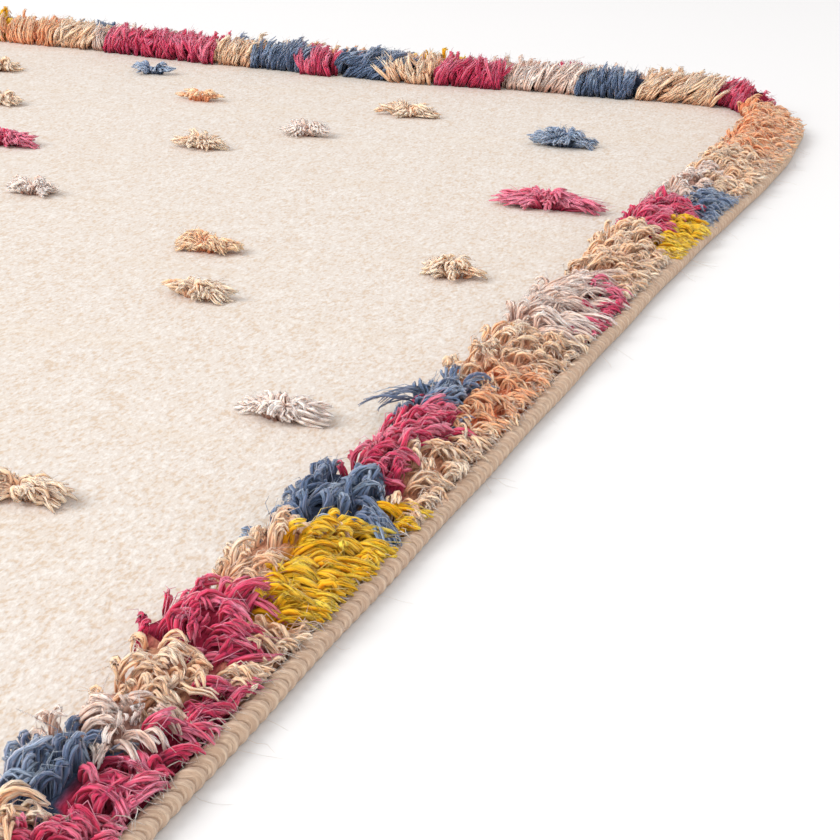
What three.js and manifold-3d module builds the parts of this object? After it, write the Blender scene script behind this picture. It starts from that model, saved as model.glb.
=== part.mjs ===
// Flat-woven wool rug with a knotted shag border, a whip-stitched edge cord and scattered pile tufts.
// Millimetres, +Z up. The rug lies flat on z = 0, its width along X and its length along Y.
import * as THREE from 'three';
import { mergeVertices } from 'three/addons/utils/BufferGeometryUtils.js';
import Module from 'manifold-3d';

const wasm = await Module();
wasm.setup();

// Driving sizes of the rug
const RUG_WIDTH = 1200;
const RUG_LENGTH = 1700;
const CORNER_RADIUS = 110;
const PARTING = 0.3;
const MITRE_INSET = 0.2;
const CORNER_STEPS = 3;
const WIDTH_STEPS = 14;
const LENGTH_STEPS = 20;

// Edge cord: round, with a flat underside
const CORD_DIAMETER = 10;
const CORD_FLAT = 4;
const CORD_FACETS = 7;

// Ground cloth: a panel with a flat underside and a gently uneven field
const CLOTH_THICKNESS = 6;
const CLOTH_UNEVENNESS = 0.7;

// Width of cloth inside the edge that stays level, and of the strip over which the field's rolls set in
const LEVEL_MARGIN = 84;

// Section of the border pile, from its outer root over the crest to its inner root.
// from: what the point is measured from; inset: how far in; height above the floor, or
// rise: the share of the lump's height above the cloth
const PILE_PROFILE = [
  { from: 'edge', inset: 13, rise: 0 },
  { from: 'edge', inset: 11, height: CORD_DIAMETER + 2 * PARTING },
  { from: 'outer', inset: 0, height: CORD_DIAMETER + 3.5 },
  { from: 'outer', inset: 12, rise: 0.85 },
  { from: 'edge', inset: 32, rise: 1 },
  { from: 'edge', inset: 54, rise: 0.95 },
  { from: 'inner', inset: -6, rise: 0.65 },
  { from: 'inner', inset: 0, rise: 0.3 },
  { from: 'inner', inset: -5, rise: 0 },
];

// Places along each lump where the pile has a section. share: of the lump's length; swell: of its height
const LUMP_STATIONS = [
  { share: 0, swell: 0.7 },
  { share: 0.3, swell: 1 },
  { share: 0.7, swell: 1 },
];
const LUMP_END_SWELL = 0.7;
const PLAIN_LUMP_LENGTH = 75;

// Locks: tapered bunches of three sides. Along a rim they drift and spread by chance, up to these sizes
const LOCK_ROOT = 4.4;
const LOCK_WAIST = 0.75;
const LOCK_SPACING = 31;
const LOCK_DRIFT = 8;
const LOCK_SCATTER = 0.4;
const RIM_LOCKS = {
  outer: {
    root: { inset: 14, height: 18 },
    waist: { inset: 1, height: 17 },
    tip: { inset: -5, spread: -3, height: 12, lift: 0 },
  },
  inner: {
    root: { inset: -14, height: 15 },
    waist: { inset: 1, height: 14 },
    tip: { inset: 6, spread: 5, height: 9, lift: 4 },
  },
};

// Tufts: low mounds that stand on the field, with a lock at each end.
// up: share of the height; wide: share of the half length and depth
const TUFT_FACETS = 6;
const TUFT_BUMP = 0.08;
const TUFT_LAYERS = [
  { up: 0, wide: 0.6 },
  { up: 0.4, wide: 0.74 },
  { up: 0.85, wide: 0.5 },
];
const TUFT_LOCK = {
  root: { along: 0.35, aside: 0.3, up: 0.5 },
  waist: { along: 0.8, aside: 0.7, up: 0.42 },
  tip: { along: 1, aside: 1, up: 0.3 },
};
const TUFT_LOCK_SPREAD = 0.3;

// In-plane waves of the four edges: how far the edge lies from its straight line at each place along it
const RIGHT_WAVE = [
  { at: -850, shift: -6 },
  { at: -400, shift: -9 },
  { at: 200, shift: -9 },
  { at: 600, shift: 0 },
  { at: 850, shift: -12 },
];
const LEFT_WAVE = [
  { at: -850, shift: 4 },
  { at: -300, shift: 0 },
  { at: 300, shift: 7 },
  { at: 850, shift: 0 },
];
const FAR_WAVE = [
  { at: -600, shift: 0 },
  { at: -300, shift: -16 },
  { at: 0, shift: -34 },
  { at: 150, shift: -38 },
  { at: 350, shift: -29 },
  { at: 475, shift: -26 },
  { at: 600, shift: -66 },
];
const NEAR_WAVE = [
  { at: -600, shift: 0 },
  { at: 0, shift: 6 },
  { at: 600, shift: 3 },
];
const WAVE_REACH_X = 450;
const WAVE_REACH_Y = 600;

// Lumps of each border band, in the order of a walk round the rug against the clock.
// length: along the edge; height: top of the pile above the floor;
// inner, outer: how far in from the rug's edge the pile's two flanks lie
const RIGHT_LUMPS = [
  { length: 78, height: 26, inner: 76, outer: 5 },
  { length: 84, height: 28, inner: 79, outer: 6 },
  { length: 70, height: 25, inner: 75, outer: 4 },
  { length: 88, height: 27, inner: 80, outer: 6 },
  { length: 72, height: 25, inner: 76, outer: 5 },
  { length: 63, height: 27, inner: 80, outer: 4 },
  { length: 60, height: 28, inner: 76, outer: 6 },
  { length: 62, height: 26, inner: 74, outer: 5 },
  { length: 64, height: 28, inner: 72, outer: 5 },
  { length: 72, height: 28, inner: 80, outer: 7 },
  { length: 78, height: 27, inner: 72, outer: 6 },
  { length: 72, height: 27, inner: 74, outer: 6 },
  { length: 62, height: 25, inner: 70, outer: 5 },
  { length: 92, height: 27, inner: 72, outer: 6 },
  { length: 118, height: 25, inner: 68, outer: 3 },
  { length: 72, height: 28, inner: 72, outer: 5 },
  { length: 100, height: 26, inner: 68, outer: 3 },
  { length: 140, height: 26, inner: 66, outer: 3 },
  { length: 150, height: 27, inner: 60, outer: 3 },
];
const FAR_LUMPS = [
  { length: 88, height: 30, inner: 46, outer: 4 },
  { length: 76, height: 29, inner: 58, outer: 5 },
  { length: 66, height: 30, inner: 66, outer: 4 },
  { length: 74, height: 29, inner: 64, outer: 4 },
  { length: 66, height: 30, inner: 72, outer: 5 },
  { length: 48, height: 31, inner: 76, outer: 4 },
  { length: 50, height: 28, inner: 74, outer: 5 },
  { length: 50, height: 30, inner: 80, outer: 4 },
  { length: 64, height: 27, inner: 70, outer: 5 },
  { length: 52, height: 29, inner: 72, outer: 4 },
  { length: 66, height: 31, inner: 76, outer: 5 },
  { length: 76, height: 30, inner: 76, outer: 4 },
  { length: 44, height: 27, inner: 72, outer: 5 },
  { length: 56, height: 28, inner: 74, outer: 4 },
  { length: 78, height: 29, inner: 76, outer: 5 },
  { length: 72, height: 28, inner: 74, outer: 4 },
  { length: 94, height: 29, inner: 74, outer: 5 },
];
// The left and near bands repeat one short row of lumps
const PLAIN_LUMPS = [
  { length: 82, height: 27, inner: 76, outer: 5 },
  { length: 70, height: 26, inner: 73, outer: 4 },
  { length: 90, height: 28, inner: 77, outer: 6 },
  { length: 76, height: 25, inner: 75, outer: 5 },
  { length: 66, height: 28, inner: 72, outer: 4 },
];

// Field tufts: centre, length along X, depth along Y, height above the cloth, yarn
const TUFTS = [
  { yarn: 'mauve', x: 465, y: -72, length: 56, depth: 26, height: 15 },
  { yarn: 'tan', x: 320, y: 79, length: 49, depth: 24, height: 14 },
  { yarn: 'coral', x: 274, y: 169, length: 50, depth: 24, height: 14 },
  { yarn: 'tan', x: 454, y: 185, length: 44, depth: 26, height: 16 },
  { yarn: 'plum', x: 460, y: 368, length: 84, depth: 26, height: 17 },
  { yarn: 'blue', x: 407, y: 554, length: 57, depth: 28, height: 18 },
  { yarn: 'tan', x: 232, y: 608, length: 62, depth: 26, height: 15 },
  { yarn: 'mauve', x: 181, y: 498, length: 45, depth: 26, height: 16 },
  { yarn: 'tan', x: 116, y: 421, length: 52, depth: 26, height: 15 },
  { yarn: 'mauve', x: 73, y: 239, length: 42, depth: 24, height: 16 },
  { yarn: 'plum', x: -49, y: 364, length: 66, depth: 26, height: 16 },
  { yarn: 'tan', x: -154, y: 494, length: 56, depth: 26, height: 15 },
  { yarn: 'tan', x: -254, y: 625, length: 54, depth: 26, height: 15 },
  { yarn: 'tan', x: 390, y: -207, length: 58, depth: 26, height: 15 },
  { yarn: 'blue', x: 243, y: -84, length: 54, depth: 26, height: 16 },
  { yarn: 'plum', x: 96, y: 56, length: 60, depth: 26, height: 16 },
  { yarn: 'mustard', x: -66, y: 170, length: 52, depth: 26, height: 15 },
  { yarn: 'blue', x: -214, y: 280, length: 56, depth: 26, height: 17 },
  { yarn: 'coral', x: -322, y: 414, length: 50, depth: 24, height: 15 },
  { yarn: 'mauve', x: -420, y: 550, length: 48, depth: 26, height: 16 },
  { yarn: 'plum', x: -448, y: 712, length: 60, depth: 26, height: 16 },
  { yarn: 'coral', x: 20, y: 582, length: 50, depth: 24, height: 15 },
  { yarn: 'blue', x: -96, y: 676, length: 54, depth: 26, height: 16 },
  { yarn: 'tan', x: -392, y: 226, length: 54, depth: 26, height: 15 },
  { yarn: 'mauve', x: -256, y: 94, length: 46, depth: 26, height: 16 },
  { yarn: 'tan', x: -108, y: -10, length: 52, depth: 26, height: 15 },
  { yarn: 'coral', x: 72, y: -164, length: 50, depth: 24, height: 15 },
  { yarn: 'tan', x: 214, y: -290, length: 54, depth: 26, height: 15 },
  { yarn: 'plum', x: 452, y: -368, length: 64, depth: 26, height: 16 },
  { yarn: 'plum', x: -424, y: 34, length: 62, depth: 26, height: 16 },
  { yarn: 'blue', x: -276, y: -110, length: 54, depth: 26, height: 16 },
  { yarn: 'mauve', x: -92, y: -236, length: 48, depth: 26, height: 16 },
  { yarn: 'mustard', x: 62, y: -380, length: 52, depth: 26, height: 15 },
  { yarn: 'tan', x: 286, y: -476, length: 54, depth: 26, height: 15 },
  { yarn: 'coral', x: -430, y: -194, length: 50, depth: 24, height: 15 },
  { yarn: 'tan', x: -262, y: -340, length: 54, depth: 26, height: 15 },
  { yarn: 'plum', x: -106, y: -468, length: 60, depth: 26, height: 16 },
  { yarn: 'blue', x: 96, y: -594, length: 54, depth: 26, height: 16 },
  { yarn: 'mauve', x: 352, y: -652, length: 48, depth: 26, height: 16 },
  { yarn: 'tan', x: -404, y: -450, length: 54, depth: 26, height: 15 },
  { yarn: 'mustard', x: -286, y: -588, length: 52, depth: 26, height: 15 },
  { yarn: 'coral', x: -110, y: -690, length: 50, depth: 24, height: 15 },
];

const YARNS = {
  ground: { color: 0xf2e9da, roughness: 0.95 },
  cord: { color: 0xd6c3a8, roughness: 0.9 },
  mixed: { color: 0xc4967f, roughness: 0.95 },
  plum: { color: 0xa03c5f, roughness: 0.92 },
  blue: { color: 0x556e91, roughness: 0.92 },
  mustard: { color: 0xd2aa2d, roughness: 0.92 },
  coral: { color: 0xeb966e, roughness: 0.92 },
  tan: { color: 0xd7af82, roughness: 0.92 },
  mauve: { color: 0xcdb4a5, roughness: 0.92 },
};

// Turns of the four sides, against the clock. Along a side, a grows and b points outwards.
const ALONG_LENGTH = { half: RUG_LENGTH / 2, reach: RUG_WIDTH / 2, steps: LENGTH_STEPS };
const ALONG_WIDTH = { half: RUG_WIDTH / 2, reach: RUG_LENGTH / 2, steps: WIDTH_STEPS };
const SIDES = {
  right: { ...ALONG_LENGTH, place: (a, b) => [b, a], lumps: RIGHT_LUMPS },
  far: { ...ALONG_WIDTH, place: (a, b) => [-a, b], lumps: FAR_LUMPS },
  left: { ...ALONG_LENGTH, place: (a, b) => [-b, -a], lumps: PLAIN_LUMPS },
  near: { ...ALONG_WIDTH, place: (a, b) => [a, -b], lumps: PLAIN_LUMPS },
};

const ease = (t) => THREE.MathUtils.smoothstep(t, 0, 1);

// A steady stand-in for chance: the same place always gives the same value from -1 to 1
function scatter(index, salt) {
  const wave = Math.sin(index * 127.1 + salt * 311.7) * 43758.5453;
  return 2 * (wave - Math.floor(wave)) - 1;
}

function waveAt(rows, place) {
  const next = rows.findIndex((row) => row.at >= place);
  if (next < 0) return rows[rows.length - 1].shift;
  if (next === 0) return rows[0].shift;
  const [from, to] = [rows[next - 1], rows[next]];
  return from.shift + (to.shift - from.shift) * ease((place - from.at) / (to.at - from.at));
}

// Where a point of the neat rectangle really lies, with the waves of the edges that it is near
function lie(x, y) {
  const nearRight = ease((x - RUG_WIDTH / 2) / WAVE_REACH_X + 1);
  const nearLeft = ease((-x - RUG_WIDTH / 2) / WAVE_REACH_X + 1);
  const nearFar = ease((y - RUG_LENGTH / 2) / WAVE_REACH_Y + 1);
  const nearNear = ease((-y - RUG_LENGTH / 2) / WAVE_REACH_Y + 1);
  const shiftX = nearRight * waveAt(RIGHT_WAVE, y) + nearLeft * waveAt(LEFT_WAVE, y);
  const shiftY = nearFar * waveAt(FAR_WAVE, x) + nearNear * waveAt(NEAR_WAVE, x);
  return [x + shiftX, y + shiftY];
}

// A place on a side, from its run along the edge line: its point, its inward way and its forward way
function edgePlace(side, run) {
  const straight = side.half - CORNER_RADIUS;
  const arc = (CORNER_RADIUS * Math.PI) / 4;
  const past = Math.max(0, Math.abs(run) - straight);
  const angle = Math.sign(run) * Math.min(past / arc, 1) * (Math.PI / 4);
  const flat = THREE.MathUtils.clamp(run, -straight, straight);
  return {
    a: flat + CORNER_RADIUS * Math.sin(angle),
    b: side.reach - CORNER_RADIUS + CORNER_RADIUS * Math.cos(angle),
    inward: [-Math.sin(angle), -Math.cos(angle)],
    forward: [Math.cos(angle), -Math.sin(angle)],
  };
}

const halfRun = (side) => side.half - CORNER_RADIUS + (CORNER_RADIUS * Math.PI) / 4;

// The point that lies in from the edge at a run, drawn back from the mitre at each end of the side
function sidePoint(side, run, inset, height) {
  const place = edgePlace(side, run);
  const atEnd = Math.abs(run) >= halfRun(side) - 1e-6;
  const back = atEnd ? -Math.sign(run) * MITRE_INSET : 0;
  const a = place.a + inset * place.inward[0] + back * place.forward[0];
  const b = place.b + inset * place.inward[1] + back * place.forward[1];
  const [x, y] = lie(...side.place(a, b));
  return new THREE.Vector3(x, y, height);
}

function geometryOf(points, triangles) {
  const geometry = new THREE.BufferGeometry();
  geometry.setAttribute('position', new THREE.Float32BufferAttribute(points.flatMap((p) => [...p]), 3));
  geometry.setIndex(triangles.flat());
  return geometry;
}

// A closed body through rings of equal count, each end closed by a fan about the ring's middle
function loft(rings) {
  const count = rings[0].length;
  const points = rings.flat();
  const triangles = [];
  for (let ring = 0; ring + 1 < rings.length; ring += 1) {
    for (let i = 0; i < count; i += 1) {
      const j = (i + 1) % count;
      const [p, q] = [ring * count, (ring + 1) * count];
      triangles.push([p + i, q + i, p + j], [p + j, q + i, q + j]);
    }
  }
  for (const [start, turned] of [[0, false], [(rings.length - 1) * count, true]]) {
    const middle = new THREE.Vector3();
    for (let i = 0; i < count; i += 1) middle.addScaledVector(points[start + i], 1 / count);
    points.push(middle);
    for (let i = 0; i < count; i += 1) {
      const [p, q] = [start + i, start + ((i + 1) % count)];
      triangles.push(turned ? [points.length - 1, q, p] : [points.length - 1, p, q]);
    }
  }
  return geometryOf(points, triangles);
}

function toSolid(geometry) {
  const bare = geometry.clone();
  bare.deleteAttribute('normal');
  bare.deleteAttribute('uv');
  const merged = mergeVertices(bare, 1e-4);
  return new wasm.Manifold(new wasm.Mesh({
    numProp: 3,
    vertProperties: new Float32Array(merged.getAttribute('position').array),
    triVerts: new Uint32Array(merged.getIndex().array),
  }));
}

function joined(geometries) {
  const [first, ...rest] = geometries.map(toSolid);
  const whole = rest.reduce((sum, solid) => sum.add(solid), first).getMesh();
  const geometry = new THREE.BufferGeometry();
  geometry.setAttribute('position', new THREE.BufferAttribute(new Float32Array(whole.vertProperties), 3));
  geometry.setIndex(new THREE.BufferAttribute(new Uint32Array(whole.triVerts), 1));
  return geometry;
}

// Height of the cloth's face: level under the border, softly uneven in the field
function clothTop(x, y) {
  const inX = ease((RUG_WIDTH / 2 - Math.abs(x)) / LEVEL_MARGIN - 1);
  const inY = ease((RUG_LENGTH / 2 - Math.abs(y)) / LEVEL_MARGIN - 1);
  const rolls = Math.sin(x / 61 + 1.3) * Math.sin(y / 83 + 0.4) + 0.6 * Math.sin(x / 37 - y / 52);
  return CLOTH_THICKNESS + CLOTH_UNEVENNESS * inX * inY * (0.8 + 0.5 * rolls);
}

// Runs along a side: the corner's steps, the straight in equal steps, and the corner's steps again
function sideRuns(side) {
  const end = halfRun(side);
  const straight = side.half - CORNER_RADIUS;
  const corner = Array.from({ length: CORNER_STEPS }, (_, i) => (
    straight + ((end - straight) * (i + 1)) / CORNER_STEPS));
  const run = Array.from({ length: side.steps + 1 }, (_, i) => (
    straight * ((2 * i) / side.steps - 1)));
  return [...corner.map((place) => -place).reverse(), ...run, ...corner];
}

// Ground cloth: a net stretched between the four edges, level below and softly uneven above
function groundCloth() {
  const inset = CORD_DIAMETER + PARTING;
  const edgeLine = (side) => sideRuns(side).map((run) => {
    const place = edgePlace(side, run);
    return side.place(place.a + inset * place.inward[0], place.b + inset * place.inward[1]);
  });
  const [near, right] = [edgeLine(SIDES.near), edgeLine(SIDES.right)];
  const [far, left] = [edgeLine(SIDES.far).reverse(), edgeLine(SIDES.left).reverse()];
  const [lastX, lastY] = [near.length - 1, right.length - 1];
  const shares = (side) => sideRuns(side).map((run) => (run / halfRun(side) + 1) / 2);
  const [sharesX, sharesY] = [shares(SIDES.near), shares(SIDES.right)];
  const blend = (low, high, share) => low + share * (high - low);
  const net = (i, j) => {
    const [s, t] = [sharesX[i], sharesY[j]];
    return [0, 1].map((k) => {
      const low = blend(near[0][k], near[lastX][k], s);
      const high = blend(far[0][k], far[lastX][k], s);
      return blend(near[i][k], far[i][k], t) + blend(left[j][k], right[j][k], s) - blend(low, high, t);
    });
  };
  const row = near.length;
  const layer = row * right.length;
  const faces = [0, 1].map((upper) => Array.from({ length: layer }, (_, index) => {
    const [x, y] = net(index % row, Math.floor(index / row));
    return new THREE.Vector3(...lie(x, y), upper ? clothTop(x, y) : 0);
  }));
  const triangles = [];
  for (let j = 0; j < lastY; j += 1) {
    for (let i = 0; i < lastX; i += 1) {
      const p = j * row + i;
      triangles.push([p, p + row, p + 1], [p + 1, p + row, p + row + 1]);
      const q = p + layer;
      triangles.push([q, q + 1, q + row], [q + 1, q + row + 1, q + row]);
    }
  }
  const wall = (p, q) => triangles.push([p, q, p + layer], [q, q + layer, p + layer]);
  for (let i = 0; i < lastX; i += 1) {
    wall(i, i + 1);
    wall(layer - row + i + 1, layer - row + i);
  }
  for (let j = 0; j < lastY; j += 1) {
    wall((j + 1) * row, j * row);
    wall(j * row + lastX, (j + 1) * row + lastX);
  }
  return geometryOf(faces.flat(), triangles);
}

// Edge cord: a round section whose foot is cut level, swept along the side
function edgeCord(side) {
  const radius = CORD_DIAMETER / 2;
  const foot = Math.asin(CORD_FLAT / 2 / radius);
  const section = Array.from({ length: CORD_FACETS }, (_, i) => {
    const turn = foot + ((2 * Math.PI - 2 * foot) * i) / (CORD_FACETS - 1);
    const height = radius * (1 - Math.cos(turn));
    const level = i === 0 || i === CORD_FACETS - 1;
    return [radius - radius * Math.sin(turn), level ? 0 : height];
  });
  return loft(sideRuns(side).map((run) => section.map(([u, z]) => sidePoint(side, run, u, z))));
}

// Lumps laid end to end along a side, stretched to fit it: each has its start and end run
function lumpsAlong(side) {
  const needed = Math.ceil((2 * halfRun(side)) / PLAIN_LUMP_LENGTH);
  const rows = side.lumps === PLAIN_LUMPS
    ? Array.from({ length: needed }, (_, i) => PLAIN_LUMPS[i % PLAIN_LUMPS.length])
    : side.lumps;
  const total = rows.reduce((sum, lump) => sum + lump.length, 0);
  const stretch = (2 * halfRun(side)) / total;
  let start = -halfRun(side);
  return rows.map((lump) => {
    const from = start;
    start += lump.length * stretch;
    return { ...lump, from, to: start };
  });
}

// The pile's section at one place: roots on the cloth, a crest, and an outer flank that leans over the cord
function pileSection(lump, swell) {
  const floor = CLOTH_THICKNESS + PARTING;
  const start = { edge: 0, outer: lump.outer, inner: lump.inner };
  return PILE_PROFILE.map(({ from, inset, height, rise }) => [
    start[from] + inset,
    height ?? floor + rise * swell * (lump.height - floor),
  ]);
}

// A lock: a tapered bunch of three sides, from its root through a bent waist to its tip
function lock(root, waist, tip) {
  const way = tip.clone().sub(root).normalize();
  const side = new THREE.Vector3(0, 0, 1).cross(way).normalize();
  const over = way.clone().cross(side);
  const ring = (centre, radius) => [0, 1, 2].map((i) => {
    const turn = (i * 2 * Math.PI) / 3;
    return centre.clone()
      .addScaledVector(side, radius * Math.cos(turn))
      .addScaledVector(over, radius * Math.sin(turn));
  });
  const points = [...ring(root, LOCK_ROOT), ...ring(waist, LOCK_ROOT * LOCK_WAIST), tip];
  const triangles = [[0, 2, 1]];
  for (let i = 0; i < 3; i += 1) {
    const j = (i + 1) % 3;
    triangles.push([i, j, i + 3], [j, j + 3, i + 3], [i + 3, j + 3, 6]);
  }
  return geometryOf(points, triangles);
}

// Locks along both rims of a border band: the outer ones fall over the cord, the inner ones on the field
function rimLocks(side, lumps) {
  const locks = [];
  const reach = halfRun(side) - LOCK_SPACING;
  const count = Math.floor(reach / LOCK_SPACING);
  for (let i = 0; i <= count; i += 1) {
    for (const [salt, rim] of Object.keys(RIM_LOCKS).entries()) {
      const run = ((2 * i) / count - 1) * reach + scatter(i, salt) * LOCK_SCATTER * LOCK_SPACING;
      const lump = lumps.find((row) => run <= row.to) ?? lumps[lumps.length - 1];
      const drift = scatter(i, salt + 2) * LOCK_DRIFT;
      const length = (scatter(i, salt + 4) + 1) / 2;
      const { root, waist, tip } = RIM_LOCKS[rim];
      const inset = tip.inset + length * tip.spread;
      locks.push(lock(
        sidePoint(side, run, lump[rim] + root.inset, root.height),
        sidePoint(side, run + drift / 2, lump[rim] + waist.inset, waist.height),
        sidePoint(side, run + drift, lump[rim] + inset, tip.height + length * tip.lift),
      ));
    }
  }
  return locks;
}

// Border pile: one lumpy band with locks along both rims
function borderPile(side) {
  const lumps = lumpsAlong(side);
  const ringAt = (lump, run, swell) => pileSection(lump, swell).map(([u, z]) => sidePoint(side, run, u, z));
  const rings = lumps.flatMap((lump) => LUMP_STATIONS.map(({ share, swell }) => (
    ringAt(lump, lump.from + share * (lump.to - lump.from), swell))));
  rings.push(ringAt(lumps[lumps.length - 1], halfRun(side), LUMP_END_SWELL));
  return joined([loft(rings), ...rimLocks(side, lumps)]);
}

// Field tuft: a low mound of yarn whose ends run out in locks
function fieldTuft(tuft, index) {
  const [halfX, halfY] = [tuft.length / 2, tuft.depth / 2];
  const feet = [[0, 0], [halfX, 0], [-halfX, 0], [0, halfY], [0, -halfY]];
  const base = PARTING + Math.max(...feet.map(([x, y]) => clothTop(tuft.x + x, tuft.y + y)));
  const rings = TUFT_LAYERS.map(({ up, wide }, layer) => Array.from({ length: TUFT_FACETS }, (_, i) => {
    const turn = (-2 * Math.PI * i) / TUFT_FACETS;
    const swell = wide * (1 + TUFT_BUMP * scatter(index * TUFT_FACETS + i, layer));
    return new THREE.Vector3(
      tuft.x + halfX * swell * Math.cos(turn),
      tuft.y + halfY * swell * Math.sin(turn),
      base + tuft.height * up,
    );
  }));
  const locks = [1, -1].map((way) => {
    const spread = scatter(index, way + 6) * TUFT_LOCK_SPREAD * tuft.depth;
    const at = ({ along, aside, up }) => new THREE.Vector3(
      tuft.x + way * halfX * along, tuft.y + spread * aside, base + tuft.height * up);
    return lock(at(TUFT_LOCK.root), at(TUFT_LOCK.waist), at(TUFT_LOCK.tip));
  });
  return joined([loft(rings), ...locks]);
}

const rug = new THREE.Group();

function addPiece(name, geometry, yarn) {
  const { color, roughness } = YARNS[yarn];
  const material = new THREE.MeshStandardMaterial({ color, roughness, metalness: 0 });
  const piece = new THREE.Mesh(geometry, material);
  piece.name = name;
  rug.add(piece);
}

addPiece('ground_cloth', groundCloth(), 'ground');
for (const [name, side] of Object.entries(SIDES)) {
  addPiece(`edge_cord_${name}`, edgeCord(side), 'cord');
  addPiece(`border_pile_${name}`, borderPile(side), 'mixed');
}
TUFTS.forEach((tuft, index) => {
  const number = String(index + 1).padStart(2, '0');
  addPiece(`tuft_${number}_${tuft.yarn}`, fieldTuft(tuft, index), tuft.yarn);
});

// The origin is the middle of the underside
const box = new THREE.Box3().setFromObject(rug);
const middle = box.getCenter(new THREE.Vector3());
rug.position.set(-middle.x, -middle.y, -box.min.z);

export default rug;
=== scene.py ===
"""The looks of a flat-woven wool rug with a shag border, a whip-stitched edge and field tufts.

Sizes are in millimetres in the rug's own plan and become metres when a mesh is made.
"""
import logging
import math
from dataclasses import dataclass, field
from enum import Enum
from typing import Callable, Optional, Sequence, Union

import bmesh
import bpy
import numpy as np
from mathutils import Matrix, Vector


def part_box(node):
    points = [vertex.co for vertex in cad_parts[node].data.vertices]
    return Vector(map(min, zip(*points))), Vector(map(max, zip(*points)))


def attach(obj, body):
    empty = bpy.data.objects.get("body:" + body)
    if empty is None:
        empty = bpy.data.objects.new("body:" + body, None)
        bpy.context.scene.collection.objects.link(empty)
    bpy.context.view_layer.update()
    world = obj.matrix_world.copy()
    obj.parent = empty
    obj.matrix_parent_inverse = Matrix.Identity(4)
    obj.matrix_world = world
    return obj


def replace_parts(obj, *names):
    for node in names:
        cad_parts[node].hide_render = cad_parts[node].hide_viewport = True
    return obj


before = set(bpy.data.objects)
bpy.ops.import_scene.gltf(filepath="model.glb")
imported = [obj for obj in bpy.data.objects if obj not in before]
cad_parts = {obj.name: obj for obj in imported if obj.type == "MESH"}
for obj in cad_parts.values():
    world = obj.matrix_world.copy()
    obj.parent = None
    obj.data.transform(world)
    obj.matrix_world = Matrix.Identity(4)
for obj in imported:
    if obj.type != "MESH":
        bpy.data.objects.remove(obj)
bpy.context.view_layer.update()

LOG = logging.getLogger("rug")
MM = 0.001
FULL_TURN = 2 * math.pi
Rgb = tuple[float, float, float]
Span = tuple[float, float]
Array = np.ndarray
Chance = np.random.Generator
Mesh = bpy.types.Mesh
Material = bpy.types.Material
Piece = bpy.types.Object


class Yarn(Enum):
    """The dyed yarns of the pile. Each value is the yarn's name in the names of pieces, materials and model
    parts.
    """

    PLUM = "plum"
    BLUE = "blue"
    MUSTARD = "mustard"
    CORAL = "coral"
    TAN = "tan"
    MAUVE = "mauve"


class Lane(Enum):
    """The two lanes of the border, each with patches of its own."""

    INNER = "inner"
    OUTER = "outer"


def linear(color: Rgb) -> Rgb:
    """Turns a colour of 0 to 255 in sRGB into one of 0 to 1 in linear light."""
    shares = [value / 255 for value in color]
    return tuple(s / 12.92 if s <= 0.04045 else ((s + 0.055) / 1.055) ** 2.4 for s in shares)


class Signal:
    """A shader socket that adds Math nodes when it stands in an expression."""

    def __init__(self, shader: "Shader", socket: bpy.types.NodeSocket) -> None:
        """Keeps the shader that makes the nodes and the socket that gives the value."""
        self.shader = shader
        self.socket = socket

    def maths(self, operation: str, *values: Union["Signal", float]) -> "Signal":
        """Adds one Math node.

        Args:
            operation: the Math node's operation.
            values: the node's inputs in order.

        Returns:
            The node's result.
        """
        made = self.shader.node("ShaderNodeMath", {"operation": operation}, dict(enumerate(values)))
        return self.shader.signal(made)

    def __add__(self, other: Union["Signal", float]) -> "Signal":
        """Adds."""
        return self.maths("ADD", self, other)

    def __radd__(self, other: float) -> "Signal":
        """Adds with the number first."""
        return self.maths("ADD", other, self)

    def __sub__(self, other: Union["Signal", float]) -> "Signal":
        """Subtracts."""
        return self.maths("SUBTRACT", self, other)

    def __rsub__(self, other: float) -> "Signal":
        """Subtracts from a number."""
        return self.maths("SUBTRACT", other, self)

    def __mul__(self, other: Union["Signal", float]) -> "Signal":
        """Multiplies."""
        return self.maths("MULTIPLY", self, other)

    def __rmul__(self, other: float) -> "Signal":
        """Multiplies with the number first."""
        return self.maths("MULTIPLY", other, self)


Input = Union[Signal, float, Sequence[float]]


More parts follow.
